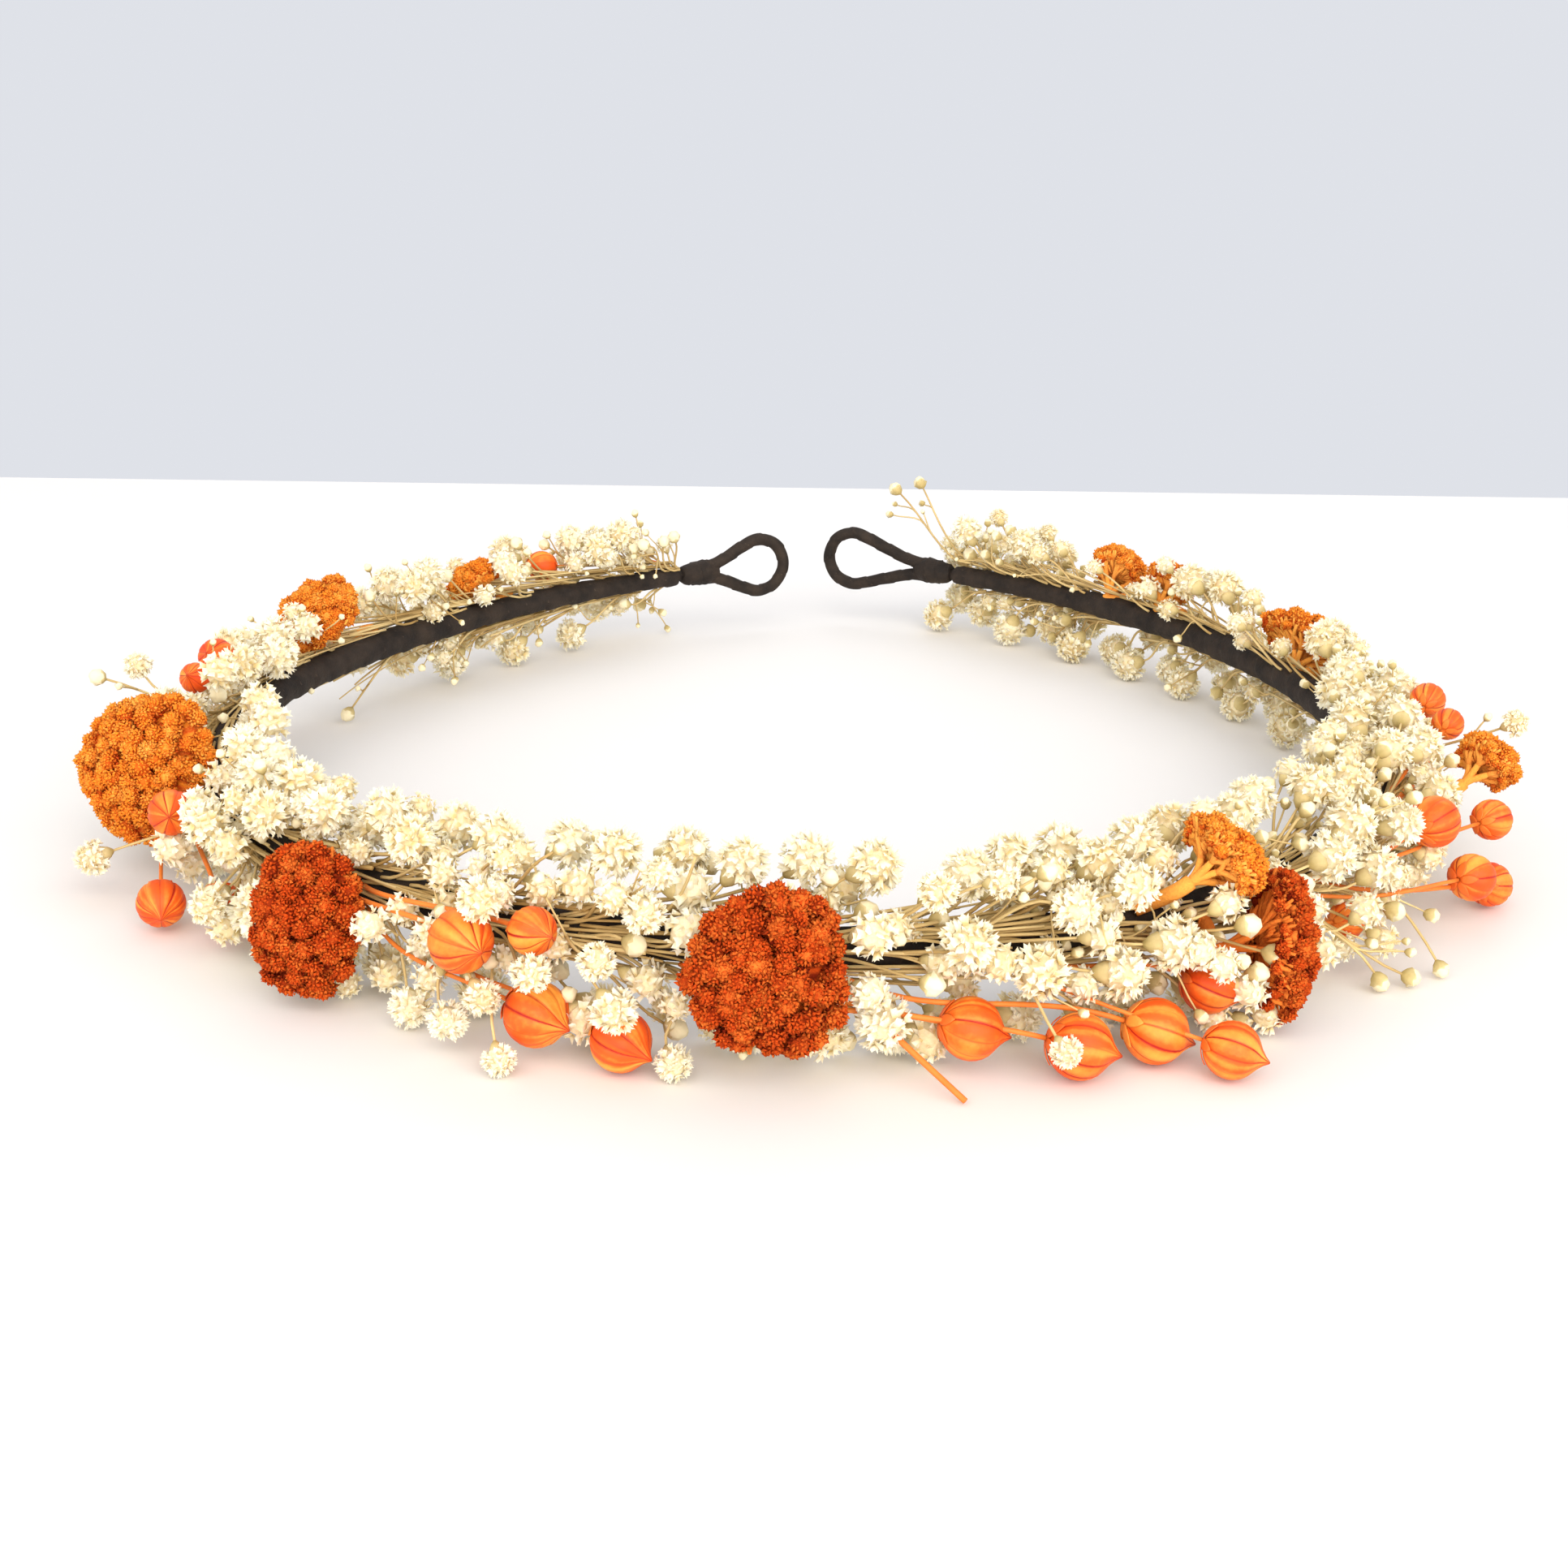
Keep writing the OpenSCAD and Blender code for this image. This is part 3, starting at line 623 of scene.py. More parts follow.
def grainShape(seed):
    # one floret: a crooked grain of four faces that stands out along +Z
    rng = np.random.default_rng(seed)
    points = np.array([[1.2, 0, -0.5], [-0.6, 1.04, -0.5], [-0.6, -1.04, -0.5], [0, 0, 1.4]])
    points = points + rng.uniform(-0.28, 0.28, (4, 3))
    faces = np.array([(0, 1, 3), (1, 2, 3), (2, 0, 3), (2, 1, 0)])
    # the foot is marked darker than the tip, for painted shade between the grains
    return points, faces, np.array([0.74, 0.74, 0.74, 1.0]), np.zeros(4)


def outline(t, which):
    # the head's uneven outline at an angle, as a share of its half size
    shares = np.array(outlines[which])
    return np.interp(np.degrees(t), np.arange(len(shares)) * 360 / len(shares), shares, period=360)


def dome(share):
    # how far the crown stands out at a share of the way to the rim, as a share of the depth
    return 0.1 + 0.4 * np.sqrt(np.clip(1 - share ** 2.2, 0, 1))


def hollow(share):
    # the same for the underside, which falls back from the rim to the middle
    return -0.3 + 0.32 * share ** 1.4


def makeYarrow(i, row, node):
    look = yarrowLook
    middle, across, up, facing = headFrame(row)
    halfW, halfH, depth, stemAt, which = row[5] / 2, row[6] / 2, *row[7:]
    rng = np.random.default_rng(100 + i)
    draw = rng.uniform
    pile = Pile()

    def onHead(x, y, z):
        # x and y as shares of the half width and height, z as a share of the depth
        return middle + x[..., None] * halfW * across + y[..., None] * halfH * up + z[..., None] * depth * facing

    def atTurn(r, t, z):
        return onHead(r * np.cos(t), r * np.sin(t), z)

    # a ribbed underside from the neck to the rim, then in over the crown below the florets
    t = circle(look["around"])
    lower, upper = np.linspace(0.14, 0.95, 12), np.linspace(0.88, 0.1, 7)
    shares = np.append(lower, upper)[:, None]
    z = np.append(hollow(lower), dome(upper) - 0.24)[:, None]
    ribs = np.abs(np.sin(t * look["ribs"] / 2 + 0.9 * np.sin(3 * t + i) + 2 * shares))
    r = shares * outline(t, which) * (1 - look["ribDepth"] * ribs * shares)
    rough = 0.035 * ripple(9 * shares * np.cos(t), 9 * shares * np.sin(t), 30 + i, 9, 1.6)
    under = np.append(np.ones_like(lower), np.zeros_like(upper))[:, None] + 0 * t
    points, faces = closedSkin(atTurn(r, t, z + 0.06 * ribs + rough))
    pile.add(points, faces, 0.4, poled(1 - ribs, 0, 0), poled(under, 1, 0))

    # floret clusters spread evenly over the crown, then a ring round the rim and one just behind it
    small = min(1, 0.62 + halfW / 24)
    spacing, radius = look["spacing"] * small, look["cluster"] * small
    count = int(math.pi * halfW * halfH * 1.12 / spacing ** 2 * 1.15)
    k = np.arange(count) + 0.5
    share = np.sqrt(k / count) * 0.98
    turn = k * golden + draw(-0.16, 0.16, count)
    height = dome(share) - radius / depth * 0.5
    for level, behind in ((1.02, 0.06), (0.93, -0.12)):
        more = int(math.pi * (halfW + halfH) / spacing * 1.05)
        share = np.append(share, level + draw(-0.04, 0.04, more))
        turn = np.append(turn, (np.arange(more) + draw(-0.25, 0.25, more)) * 2 * math.pi / more)
        height = np.append(height, behind + draw(-0.05, 0.05, more))
    count = len(share)
    size = radius * draw(0.78, 1.14, count) * np.where(height < -0.05, 0.72, 1)
    r = share * outline(turn, which)
    x, y = r * np.cos(turn) * (1 - 1.05 * radius / halfW), r * np.sin(turn) * (1 - 1.05 * radius / halfH)
    centres = onHead(x, y, height + draw(-0.06, 0.05, count))
    slope = (0.2 + 1.3 * np.clip(share, 0, 1) ** 4 + 1.5 * (height < 0.0))[:, None]
    lean = unit(facing + slope * unit(x[:, None] * across + y[:, None] * up))
    tones = draw(0, 1, count)
    # each cluster's ball takes painted shade, darker towards its foot, under the grains
    pile.addCopies([blob(4, 7, 0.2, 40 + v) for v in range(4)], centres, lean, size * 0.86,
                   draw(0, 6, count), tones, 0.4)

    # grains: each cluster is crusted with small crooked florets
    grains = look["grains"]
    g = np.arange(grains) + 0.5
    polar = np.arccos(1 - look["reach"] * g / grains)[None] + draw(-0.1, 0.1, (count, grains))
    spin = g[None] * golden + draw(0, 6, (count, 1))
    a, b, c = (v[:, None] for v in basis(lean))
    off = (a * (np.sin(polar) * np.cos(spin))[..., None] + b * (np.sin(polar) * np.sin(spin))[..., None]
           + c * np.cos(polar)[..., None])
    reach = size[:, None, None] * draw(0.84, 1.0, (count, grains, 1))
    where = (centres[:, None] + off * reach).reshape(-1, 3)
    off = unit(off + rng.normal(0, 0.35, off.shape)).reshape(-1, 3)
    # grains low on their cluster lie in the crevices, and are marked for painted shade there
    grainShade = (0.1 + 0.9 * np.clip(np.cos(polar) * 1.15, 0, 1)).ravel()
    grainSize = look["grain"] * draw(0.7, 1.4, count * grains)
    grainTone = np.clip(np.repeat(tones, grains) * 0.35 + draw(0, 0.65, count * grains), 0, 1)
    pile.addCopies([grainShape(50 + v) for v in range(3)], where, off, grainSize,
                   draw(0, 6, count * grains), grainTone, grainShade)

    # the stem leaves the band along it, then forks twice into the stalks that carry the head
    start = place(stemAt, 0, 0)
    foot = start + unit(place(stemAt, row[1], row[2]) - start) * (bandRadius(stemAt) + 0.5)
    neck = middle - facing * depth * look["neck"]
    way = unit(wireWay(stemAt) + 0.6 * unit(foot - start))
    pile.addTubes(curves([foot], [neck], way, facing, 16), look["stem"], 10, 0.5, 0.5, 1)
    forks, stalks = look["forks"], look["stalks"]
    t1 = np.arange(forks) * 2 * math.pi / forks + draw(-0.3, 0.3, forks)
    r1 = draw(0.22, 0.4, forks)
    joints = atTurn(r1, t1, -0.42 + 0.1 * r1)
    first = unit(facing + 0.9 * unit(joints - middle + facing * depth * 0.4))
    pile.addTubes(curves(np.repeat([neck - facing * 0.5], forks, 0), joints, facing, first, 7),
                  np.linspace(0.62, 0.42, 7), 7, 0.6, part=1)
    t2 = (t1[:, None] + draw(-0.55, 0.55, (forks, stalks))).ravel()
    r2 = draw(0.5, 0.9, forks * stalks)
    ends = atTurn(r2, t2, hollow(r2) + 0.03)
    pile.addTubes(curves(np.repeat(joints, stalks, 0), ends, np.repeat(first, stalks, 0), facing, 6),
                  np.linspace(0.4, 0.26, 6), 6, 0.6, part=1)

    # fine fibres lie along the underside and end in the rim
    fibres = look["fibres"]
    t0 = np.arange(fibres) * golden
    r0 = draw(0.25, 0.75, fibres)
    r3 = np.minimum(r0 + draw(0.2, 0.4, fibres), 0.98)
    edge = outline(t0, which)
    near = atTurn(r0 * edge, t0, hollow(r0) - 0.01)
    far = atTurn(r3 * edge, t0 + 0.05, hollow(r3) - draw(0.0, 0.05, fibres))
    pile.addTubes(np.stack([near, (near + far) / 2 - facing * 0.12, far], axis=1), look["fibreR"], 4,
                  draw(0, 1, fibres), part=1)
    paint, slot = (rustPaint, "yarrow_rust") if i in look["rust"] else (orangePaint, "yarrow_orange")
    pile.build("yarrowHead%02d" % (i + 1), paint, node, slot)


for i, node in enumerate(yarrowNodes):
    makeYarrow(i, yarrowRows[i], node)
print("yarrow grown")


# Flax bolls.
# The last value is a broken stem that sticks out low at the front: angle, out and up of three of its points.
boll = {"segments": 10, "groove": 0.045, "tip": 0.35, "stem": 0.3, "around": 60, "rows": 16, "back": 20.0,
        "fill": 0.97, "squash": 0.98, "brokenAt": 4,
        "broken": ((2.0, 3.0, -1.6), (6.3, 7.9, -7.0), (10.6, 15.7, -12.4))}


def bollShape(seed):
    # a round case of radius 1 in ten segments, drawn out to a point: a vein on each seam, streaks between
    v = np.linspace(0.1, math.pi - 0.02, boll["rows"])[:, None]
    t = circle(boll["around"])
    seam = np.abs(np.cos(t * boll["segments"] / 2)) ** 16
    strength = 0.75 + 0.25 * np.cos(t * 3 + seed)
    wide = np.sin(v)
    r = wide * (1 - boll["groove"] * seam * wide ** 0.5)
    sharp = np.clip((v - 2.45) / (math.pi - 2.45), 0, 1)
    z = -np.cos(v) + boll["tip"] * sharp ** 2.2 * 0.95
    r = r * (1 - 0.35 * sharp) + 0.02 * sharp
    points, faces = closedSkin(turned(r, t, z))
    fade = np.clip(v / 0.5, 0, 1)
    vein = np.clip(seam * fade * strength + sharp ** 2 * 0.7, 0, 1)
    streak = 0.5 + 0.5 * ripple(6 * np.cos(t) + 0.5 * v, 6 * np.sin(t), seed, 9, 1.3)
    return points, faces, poled(vein, 0.6, 1), poled(streak, 0.5, 0.5)


def sepalShape(count):
    # narrow pointed sepals that hug the foot of a ball, each a thin closed leaf
    u = np.linspace(0, 1, 6)[:, None]
    t = circle(8)
    wide = 0.2 * np.sin(np.pi * (0.12 + 0.86 * u)) ** 0.8
    polar = 0.1 + 0.72 * u
    r = 1.045 + 0.02 * np.sin(t)
    points, faces = closedSkin(np.stack([r * np.sin(polar), wide * np.cos(t), -r * np.cos(polar)], -1))
    turns = np.arange(count) * 2 * math.pi / count
    c, s = np.cos(turns)[:, None], np.sin(turns)[:, None]
    allPoints = np.stack([points[:, 0] * c - points[:, 1] * s, points[:, 0] * s + points[:, 1] * c,
                          np.broadcast_to(points[:, 2], (count, len(points)))], -1).reshape(-1, 3)
    marks = np.full(len(allPoints), 0.25), np.full(len(allPoints), 0.5)
    return allPoints, copyFaces(faces, len(points), count), *marks


for i, (foot, middle, axis, r) in enumerate(bolls):
    rng = np.random.default_rng(300 + i)
    draw = rng.uniform
    pile = Pile()
    tilt = unit(0.7 * axis + 0.5 * wireWay(angleAt(lengthAt(middle))) + draw(-0.15, 0.15, 3))
    spin = draw(0, 6, 1)
    where = [middle], [tilt], [r * boll["fill"]], spin, boll["squash"]
    p, f, along, streak, _ = scatter(bollShape(i), *where)
    pile.add(p, f, streak, along)
    p, f, along, part, _ = scatter(sepalShape(5), *where)
    pile.add(p, f, draw(), along, part)
    # the stem is bound in well back along the band and runs nearly level to the boll
    at = angleAt(max(lengthAt(foot) - boll["back"], bandFrom + 1))
    side = unit(foot - place(angleAt(lengthAt(foot)), 0, 0))
    start = place(at, 0, 0) + side * (bandRadius(at) + 0.4)
    pile.addTubes(curves([start], [middle - tilt * r * 0.93], unit(wireWay(at) + 0.8 * side), tilt, 20, 0.4),
                  boll["stem"] * draw(0.85, 1.15), 8, draw(), 0.2, 1)
    if i == boll["brokenAt"]:
        a, b, c = (place(*v) for v in boll["broken"])
        pile.addTubes(curves([a], [c], unit(b - a), unit(c - b), 12), boll["stem"] * 1.25, 8, 0.4, 0.2, 1)
    pile.build("flaxBoll%02d" % (i + 1), bollPaint, bollNodes[i], "flax_orange")
print("bolls grown")


# Gypsophila.
gyp = {"petals": 70, "smallPetals": 38, "core": 0.72, "stem": 0.21, "twig": 0.15, "run": 0.2, "runs": 420, "hug": 2.6,
       "extras": 425, "tries": 20000, "extraMin": 1.2, "extraMax": 2.6, "extraCap": 2.9, "leftMore": 0.45,
       "groundSpread": 1.22, "lap": 0.72, "offHeads": 0.7, "offBare": 1.2, "budBelow": 1.75, "twigs": 1.1,
       "fewTwigs": (5, 6, 7, 8, 9), "fewShare": 0.5, "rear": (0, 1, 2, 3, 14, 15, 16, 17), "rearBuds": 0.8}
# small flowers and buds close before and behind the head that is seen from its side: angle, out, up, radius
nearHead = [(30.9, 10.9, 5.1, 2.4), (31.5, 13.7, 3.1, 1.7), (34.1, 13.9, -1.5, 1.7), (31, 14, -1.2, 1.2),
            (28.3, 12, 0.3, 2.4), (29.4, 14, -1.1, 2.2), (32.5, 12.7, -5.9, 2.6), (34.7, 12.4, -10.1, 2.4),
            (32.8, 13.6, -3.5, 1.6), (30.9, 10.1, -9.7, 2.2), (33.4, 10.5, -11.2, 1.6), (38.3, 11, 4.8, 1.6),
            (38.9, 11.9, 1.7, 2.2), (41.4, 10.9, -5, 2.6)]


def petalShape(teeth, length, width, curl, fold, rng):
    # a thin closed petal along +Y: a narrow foot, a toothed edge that curls up, and a middle on each face
    n = 2 * teeth + 1
    side, zig = np.linspace(-1, 1, n), np.cos(np.arange(n) * math.pi)
    edge = np.stack([width * side, length * (1 + 0.1 * zig - 0.1 * side ** 2 + rng.uniform(-0.1, 0.1, n)),
                     curl + fold * (zig + rng.uniform(-0.5, 0.5, n))], -1)
    rest = [[width * 0.45, 0, 0], [-width * 0.45, 0, 0],
            [0, length * 0.55, curl * 0.3], [0, length * 0.5, curl * 0.3 - 0.06]]
    k = np.arange(n + 2)
    after = (k + 1) % (n + 2)
    faces = np.concatenate([np.stack([0 * k + n + 2, after, k], -1), np.stack([0 * k + n + 3, k, after], -1)])
    return np.concatenate([edge, rest]), faces, np.concatenate([np.ones(n), [0, 0, 0.55, 0.5]])


def flowerShape(petals, teeth, seed):
    # a double flower of radius 1: short petals stand like lifted scales all over a lumpy core
    rng = np.random.default_rng(seed)
    draw = rng.uniform
    pile = Pile()
    for k in range(petals):
        polar = math.acos(1 - 1.68 * (k + 0.5) / petals) + draw(-0.1, 0.1)
        spin = k * golden + draw(-0.2, 0.2)
        d = np.array([math.sin(polar) * math.cos(spin), math.sin(polar) * math.sin(spin), math.cos(polar)])
        away = np.array([math.cos(polar) * math.cos(spin), math.cos(polar) * math.sin(spin), -math.sin(polar)])
        twist, lift = rng.normal(0, 1.1), draw(0.45, 1.15)
        level = away * math.cos(twist) + np.cross(d, away) * math.sin(twist)
        way = level * math.cos(lift) + d * math.sin(lift)
        facing = d * math.cos(lift) - level * math.sin(lift)
        length = draw(0.32, 0.46)
        points, faces, tip = petalShape(teeth, length, draw(0.15, 0.24), draw(-0.1, 0.12), draw(0.03, 0.075), rng)
        base = d * (0.98 - length * math.sin(lift)) - level * 0.16
        pile.add(base + points[:, :1] * np.cross(way, facing) + points[:, 1:2] * way + points[:, 2:] * facing, faces,
                 along=tip, tone=draw())
    core, faces, _, _ = blob(5, 9, 0.16, seed)
    pile.add(core * gyp["core"] + [0, 0, 0.02], faces, along=0.5, tone=0.35)
    return [np.concatenate(x) for x in (pile.points, pile.faces, pile.marks["along"], pile.marks["tone"])]


def cupShape():
    # the calyx under a flower of radius 1: a bell that opens to five teeth
    u = np.linspace(0, 1, 4)[:, None]
    t = circle(10)
    teeth = np.abs(np.cos(t * 2.5))
    r = 0.1 + 0.34 * np.sin(u * math.pi * 0.5) ** 0.8 + 0.03 * teeth * u
    z = -1.1 + 0.66 * u + 0.14 * teeth * u ** 4
    points, faces = closedSkin(np.concatenate([turned(r, t, z), turned(0.3, t, -0.6)[None]]))
    along = np.repeat(np.append(u, 0.9), len(t))
    return points, faces, poled(along, 0, 1), np.ones(len(points))


def budShape(cols, seed):
    # a closed bud of half length 1: an egg in five ribs whose cup parts round a crumpled tip
    rng = np.random.default_rng(seed)
    u = np.array([0, 0.2, 0.42, 0.54, 0.78, 1])[:, None]
    t = circle(cols)
    rib = np.cos(5 * t)
    r = np.array([0.14, 0.55, 0.76, 0.74, 0.64, 0.26])[:, None]
    r = r * (1 + np.where(u < 0.5, 0.08, 0.0) * rib + np.where(u > 0.5, 0.3, 0.03) * rng.uniform(-1, 1, (6, cols)))
    z = -1 + 1.85 * u + 0.14 * rib * np.exp(-((u - 0.5) / 0.08) ** 2)
    points, faces = closedSkin(turned(r, t, z))
    along = np.repeat(np.where(u > 0.5, 1.3, u), cols)
    return points, faces, poled(along, 0, 1.3), np.ones(len(points))


fullFlowers = [flowerShape(gyp["petals"], 2, 60 + k) for k in range(6)]
smallFlowers = [flowerShape(gyp["smallPetals"], 1, 80 + k) for k in range(4)]
calyx, bud, smallBud = cupShape(), budShape(15, 5), budShape(8, 6)


# places of the bundle left bare: angle, out, up, radius
bare = [(-57.5, 5.8, 7.5, 3), (-66, 1, 10, 6), (-78, -1, 10, 3), (-83.5, -4.5, 8.8, 3), (-102.5, 3, -9.5, 5),
        (-111.5, 3.5, -9, 6), (-117.5, 3.5, -9, 6), (-122, 1, -9.5, 3), (-124.5, -4, 9, 3), (-128, 0.5, -9.5, 3),
        (-130.5, -4.5, 8.6, 3), (-133.5, 0, -9.8, 3), (-133.5, -1, 9.5, 3), (-138.8, 1, -9.8, 3), (93.5, -4.5, 9, 3),
        (100, -3.5, 10, 3), (121, -4, 8.6, 3), (-84.5, 4.5, 9.5, 3), (59, 0.5, 10.3, 3), (69.6, 0, 9.8, 3)]
# places near the rear heads that only the small flowers and buds keep off
thin = [(88, -5, 7, 3.5), (98, -2, 8.5, 3.5), (104, -3, 8, 4), (110, -2, 8.5, 4), (116, -2.5, 8, 3.5),
        (128, -3, 7.5, 3.5), (-106, -5, 7, 4), (-118, -4.5, 7, 4), (-100, 4, -7.5, 3.5), (-108, 5, -6.5, 3.5),
        (-120, 5, -6.5, 4), (-127, 3, -7.5, 3.5), (-136, 2, -7.5, 3.5)]


def offBare(points, margin):
    # true where a point keeps off all those places
    clear = np.ones(len(points), bool)
    for angle, out, up, r in bare + thin:
        clear &= np.linalg.norm(points - place(angle, out, up), axis=1) > r + margin
    return clear


def offYarrow(points, margin):
    # true where a point lies outside every head, each taken as a thick round slab
    clear = np.ones(len(points), bool)
    for row in yarrowRows:
        middle, across, up, facing = headFrame(row)
        v = points - middle
        w, h, d = row[5] / 2 * 1.05 + margin, row[6] / 2 * 1.05 + margin, row[7] / 2 * 1.1 + margin
        inside = ((v @ across / w) ** 2 + (v @ up / h) ** 2) ** 2 + (v @ facing / d) ** 4 < 1
        clear &= ~inside
    return clear


def boundFoot(s, out, up):
    # where a stem that ends out and up from the wire is bound to the band
    way = unit(np.array([out, up]))
    r = bandRadius(angleAt(s)) + 0.1
    return place(angleAt(s), way[0] * r, way[1] * r)


def extraFlowers(heads, radii):
    # smaller flowers at random places round the band that keep off what is there
    rng = np.random.default_rng(500)
    draw = rng.uniform
    found, heads, radii, tries = [], list(heads), list(radii), gyp["tries"]

    def settle(foot, point, size, s):
        found.append((foot, point, unit(point - foot), size, s))
        heads.append(point)
        radii.append(size)

    for angle, out, up, size in nearHead:
        point = place(angle, out, up)
        s = lengthAt(point)
        settle(boundFoot(s - 12, out, up), point, size, s)
    s = draw(bandFrom + 2, bandTo + 5, tries)
    turn = np.radians(draw(-92, 128, tries))
    out = draw(3.9, 11.8, tries)
    # low at the front the bundle spreads out over the ground
    spread = (np.abs(angleAt(s)) < 60) & (turn < math.radians(-15))
    out = np.where(spread, out * gyp["groundSpread"], out)
    # they are larger from the front to the left, so that buds stand mainly on the right and at the back
    size = draw(gyp["extraMin"], gyp["extraMax"], tries) + gyp["leftMore"] * (np.abs(angleAt(s) + 45) < 65)
    size = np.minimum(size, gyp["extraCap"])
    up = np.maximum(out * np.sin(turn), size + 0.3 - ring["height"])
    points = place(angleAt(s), out * np.cos(turn), up)
    for k in np.flatnonzero(offYarrow(points, gyp["offHeads"]) & offBare(points, gyp["offBare"])):
        gap = np.linalg.norm(np.array(heads) - points[k], axis=1) - gyp["lap"] * (np.array(radii) + size[k])
        if gap.min() > 0:
            back = np.clip(s[k] - draw(7, 15), bandFrom + 1, bandTo - 1)
            settle(boundFoot(back, out[k] * math.cos(turn[k]), up[k]), points[k], size[k], s[k])
            if len(found) == gyp["extras"]:
                break
    return found


taken = bolls + [f for b in bunches for f in b]
takenPoints, takenRadii = np.array([t[1] for t in taken]), np.array([t[3] for t in taken])
extras = extraFlowers(takenPoints, takenRadii)
bunchLen = (bandTo - bandFrom) / len(bunches)


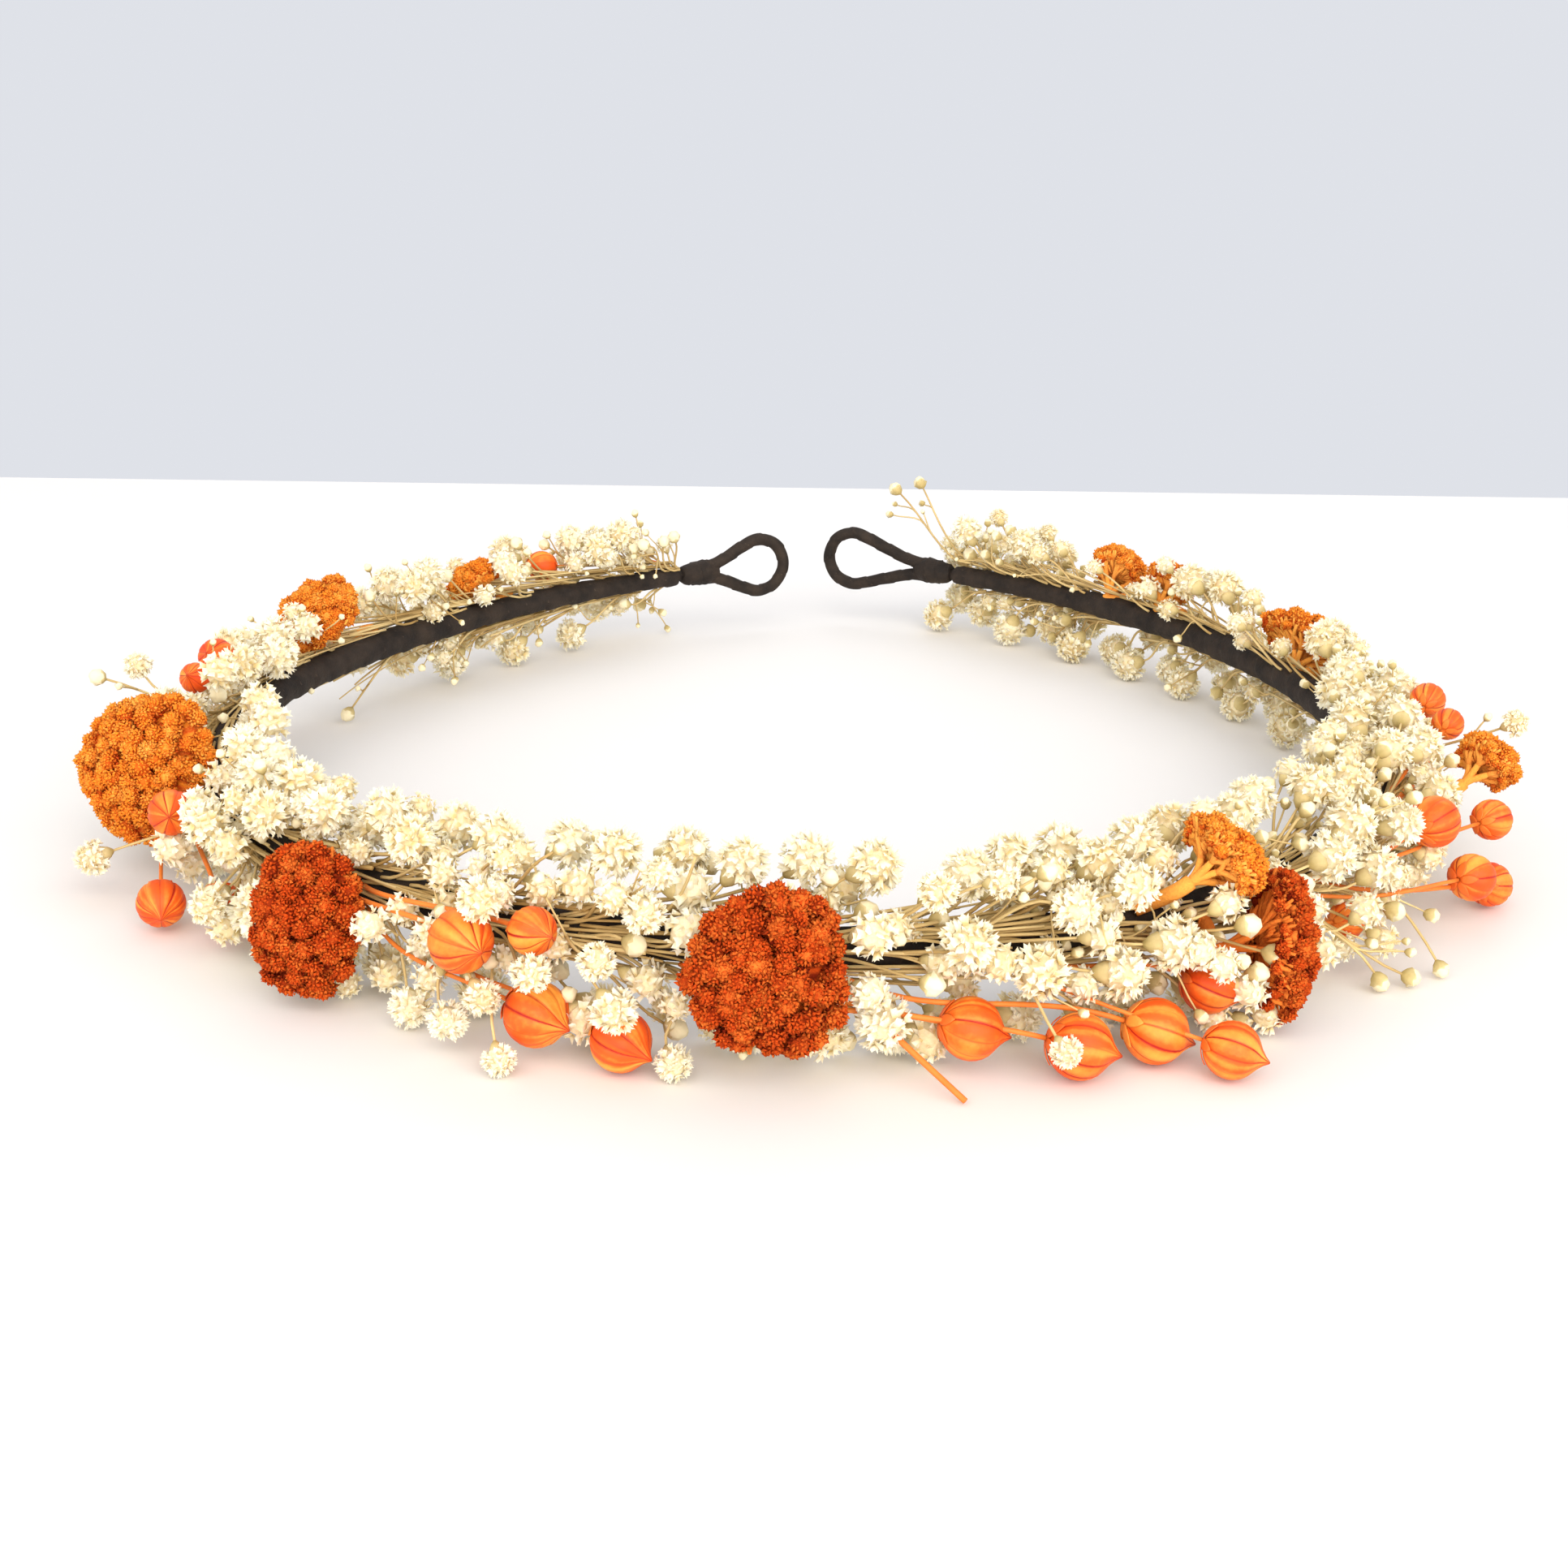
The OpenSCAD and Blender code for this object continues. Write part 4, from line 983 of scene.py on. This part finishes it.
def makeBunch(i, flowers, more, node):
    rng = np.random.default_rng(700 + i)
    draw = rng.uniform
    petals, stems = Pile(), Pile()
    feet, mids, axes, sizes = [np.array([f[k] for f in flowers + more]) for k in range(4)]
    full = np.arange(len(sizes)) < len(flowers)
    isBud = sizes < gyp["budBelow"]
    axes = unit(axes + rng.normal(0, 0.22, axes.shape))
    spins = draw(0, 6, len(sizes))
    tones = draw(0, 1, len(sizes))
    for shapes, chosen in ((fullFlowers, full & ~isBud), (smallFlowers, ~full & ~isBud)):
        for v, shape in enumerate(shapes):
            pick = np.flatnonzero(chosen)[v::len(shapes)]
            if len(pick):
                p, f, along, tone, each = scatter(shape, mids[pick], axes[pick], sizes[pick] * 1.02, spins[pick])
                petals.add(p, f, np.clip(tone * 0.6 + np.repeat(tones[pick], each) * 0.4, 0, 1), along)
    for shape, chosen in ((calyx, ~isBud), (bud, isBud)):
        pick = np.flatnonzero(chosen)
        if len(pick):
            stems.addCopies([shape], mids[pick], axes[pick], sizes[pick], spins[pick], tones[pick])

    # each stem leaves the tape along the band and bends out to its calyx
    ends = mids - axes * (sizes * np.where(isBud, 0.95, 1.05))[:, None]
    at = angleAt(np.array([lengthAt(foot) for foot in feet]))
    paths = curves(feet, ends, unit(wireWay(at) + rng.normal(0, 0.15, feet.shape)), axes, 9)
    stems.addTubes(paths, gyp["stem"] * np.linspace(1.2, 0.85, 9), 5, tones)

    # twigs fork from the stems and end in buds
    count = int(len(sizes) * gyp["twigs"] * (gyp["fewShare"] if i in gyp["fewTwigs"] else 1))
    owner = rng.integers(0, len(sizes), count)
    knot = rng.integers(3, 7, count)
    start = paths[owner, knot]
    leave = unit(paths[owner, knot + 1] - start)
    way = unit(axes[owner] + rng.normal(0, 0.65, (count, 3)))
    tips = start + way * draw(4.5, 9.5, (count, 1))
    budSize = draw(0.6, 1.3, count) * (gyp["rearBuds"] if i in gyp["rear"] else 1)
    tips[:, 2] = np.maximum(tips[:, 2], budSize + 0.4)
    apart = np.linalg.norm(tips[:, None] - takenPoints, axis=2)
    keep = offYarrow(tips, budSize.mean()) & offBare(tips, 0)
    keep &= (apart > 0.8 * takenRadii + budSize[:, None]).all(axis=1)
    start, tips, budSize, way, leave = start[keep], tips[keep], budSize[keep], way[keep], leave[keep]
    if len(tips):
        axis = unit(tips - start + 0.3 * way)
        stems.addTubes(curves(start, tips - axis * budSize[:, None] * 0.9, leave, axis, 6),
                       gyp["twig"] * np.linspace(1.15, 0.8, 6), 4, draw())
        stems.addCopies([smallBud], tips, axis, budSize, draw(0, 6, len(tips)), draw(0, 1, len(tips)))

    # bare stems bound along the band
    runs = gyp["runs"] // len(bunches)
    s0 = bandFrom + bunchLen * (i + draw(-0.1, 0.9, runs))
    length = draw(14, 30, runs)
    t = np.linspace(0, 1, 10)
    s = np.clip(s0[:, None] + length[:, None] * t, bandFrom + 1.5, bandTo - 1.5)
    turn = np.radians(draw(-80, 110, runs))[:, None] + draw(-0.5, 0.5, (runs, 1)) * t
    away = gyp["hug"] + draw(0.3, 3.6, (runs, 1)) * t ** 1.4 + draw(0, 0.8, (runs, 1))
    paths = place(angleAt(s), away * np.cos(turn), away * np.sin(turn))
    stems.addTubes(paths, gyp["run"] * draw(0.7, 1.5, (runs, 1)), 4, draw(0, 1, runs))

    petals.build("gypsophilaPetals%02d" % (i + 1), petalPaint, node, "gypsophila_cream", smooth=False)
    stems.build("gypsophilaStems%02d" % (i + 1), stemPaint, node, "gypsophila_cream")


for i, node in enumerate(bunchNodes):
    near = [e[:4] for e in extras if i == min(len(bunches) - 1, max(0, int((e[4] - bandFrom) / bunchLen)))]
    makeBunch(i, bunches[i], near, node)
print("gypsophila grown, with", len(extras), "more flowers;", Pile.total, "triangles in all")


# Floor and light.
# Lengths are in metres here; each light has its place, width, power and colour.
stage = {"far": 0.262, "side": 1.6, "near": 1.6, "floor": (0.83, 0.81, 0.79), "sky": (0.74, 0.76, 0.81),
         "skyPower": 1.0,
         "lights": (("keyLight", (-0.4, -1.3, 0.55), 2.4, 29.0, (1.0, 0.94, 0.84)),
                    ("fillLight", (0.6, -1.3, 0.4), 2.0, 28.0, (1.0, 0.95, 0.88)),
                    ("backLight", (0.1, 0.8, 0.8), 0.9, 2.0, (0.98, 0.98, 1.0)))}


def addStage():
    mesh = bpy.data.meshes.new("floor")
    x, y0, y1 = stage["side"], -stage["near"], stage["far"]
    mesh.from_pydata([(-x, y0, 0), (x, y0, 0), (x, y1, 0), (-x, y1, 0)], [], [(0, 1, 2, 3)])
    floor = addObject("floor", mesh)
    paint = Paint("floor", roughness=0.6, specular=0.1)
    mesh.materials.append(paint.finish(stage["floor"]))
    world = bpy.data.worlds.new("studio")
    bpy.context.scene.world = world
    world.use_nodes = True
    sky = world.node_tree.nodes["Background"].inputs
    sky["Color"].default_value, sky["Strength"].default_value = (*stage["sky"], 1), stage["skyPower"]
    for name, where, size, power, colour in stage["lights"]:
        data = bpy.data.lights.new(name, "AREA")
        data.size, data.energy, data.color = size, power, colour
        light = addObject(name, data)
        light.matrix_world = Matrix.Translation(where) @ Vector(where).to_track_quat("Z", "Y").to_matrix().to_4x4()
    bpy.context.scene.view_settings.view_transform = "Standard"


addStage()
print("stage set")
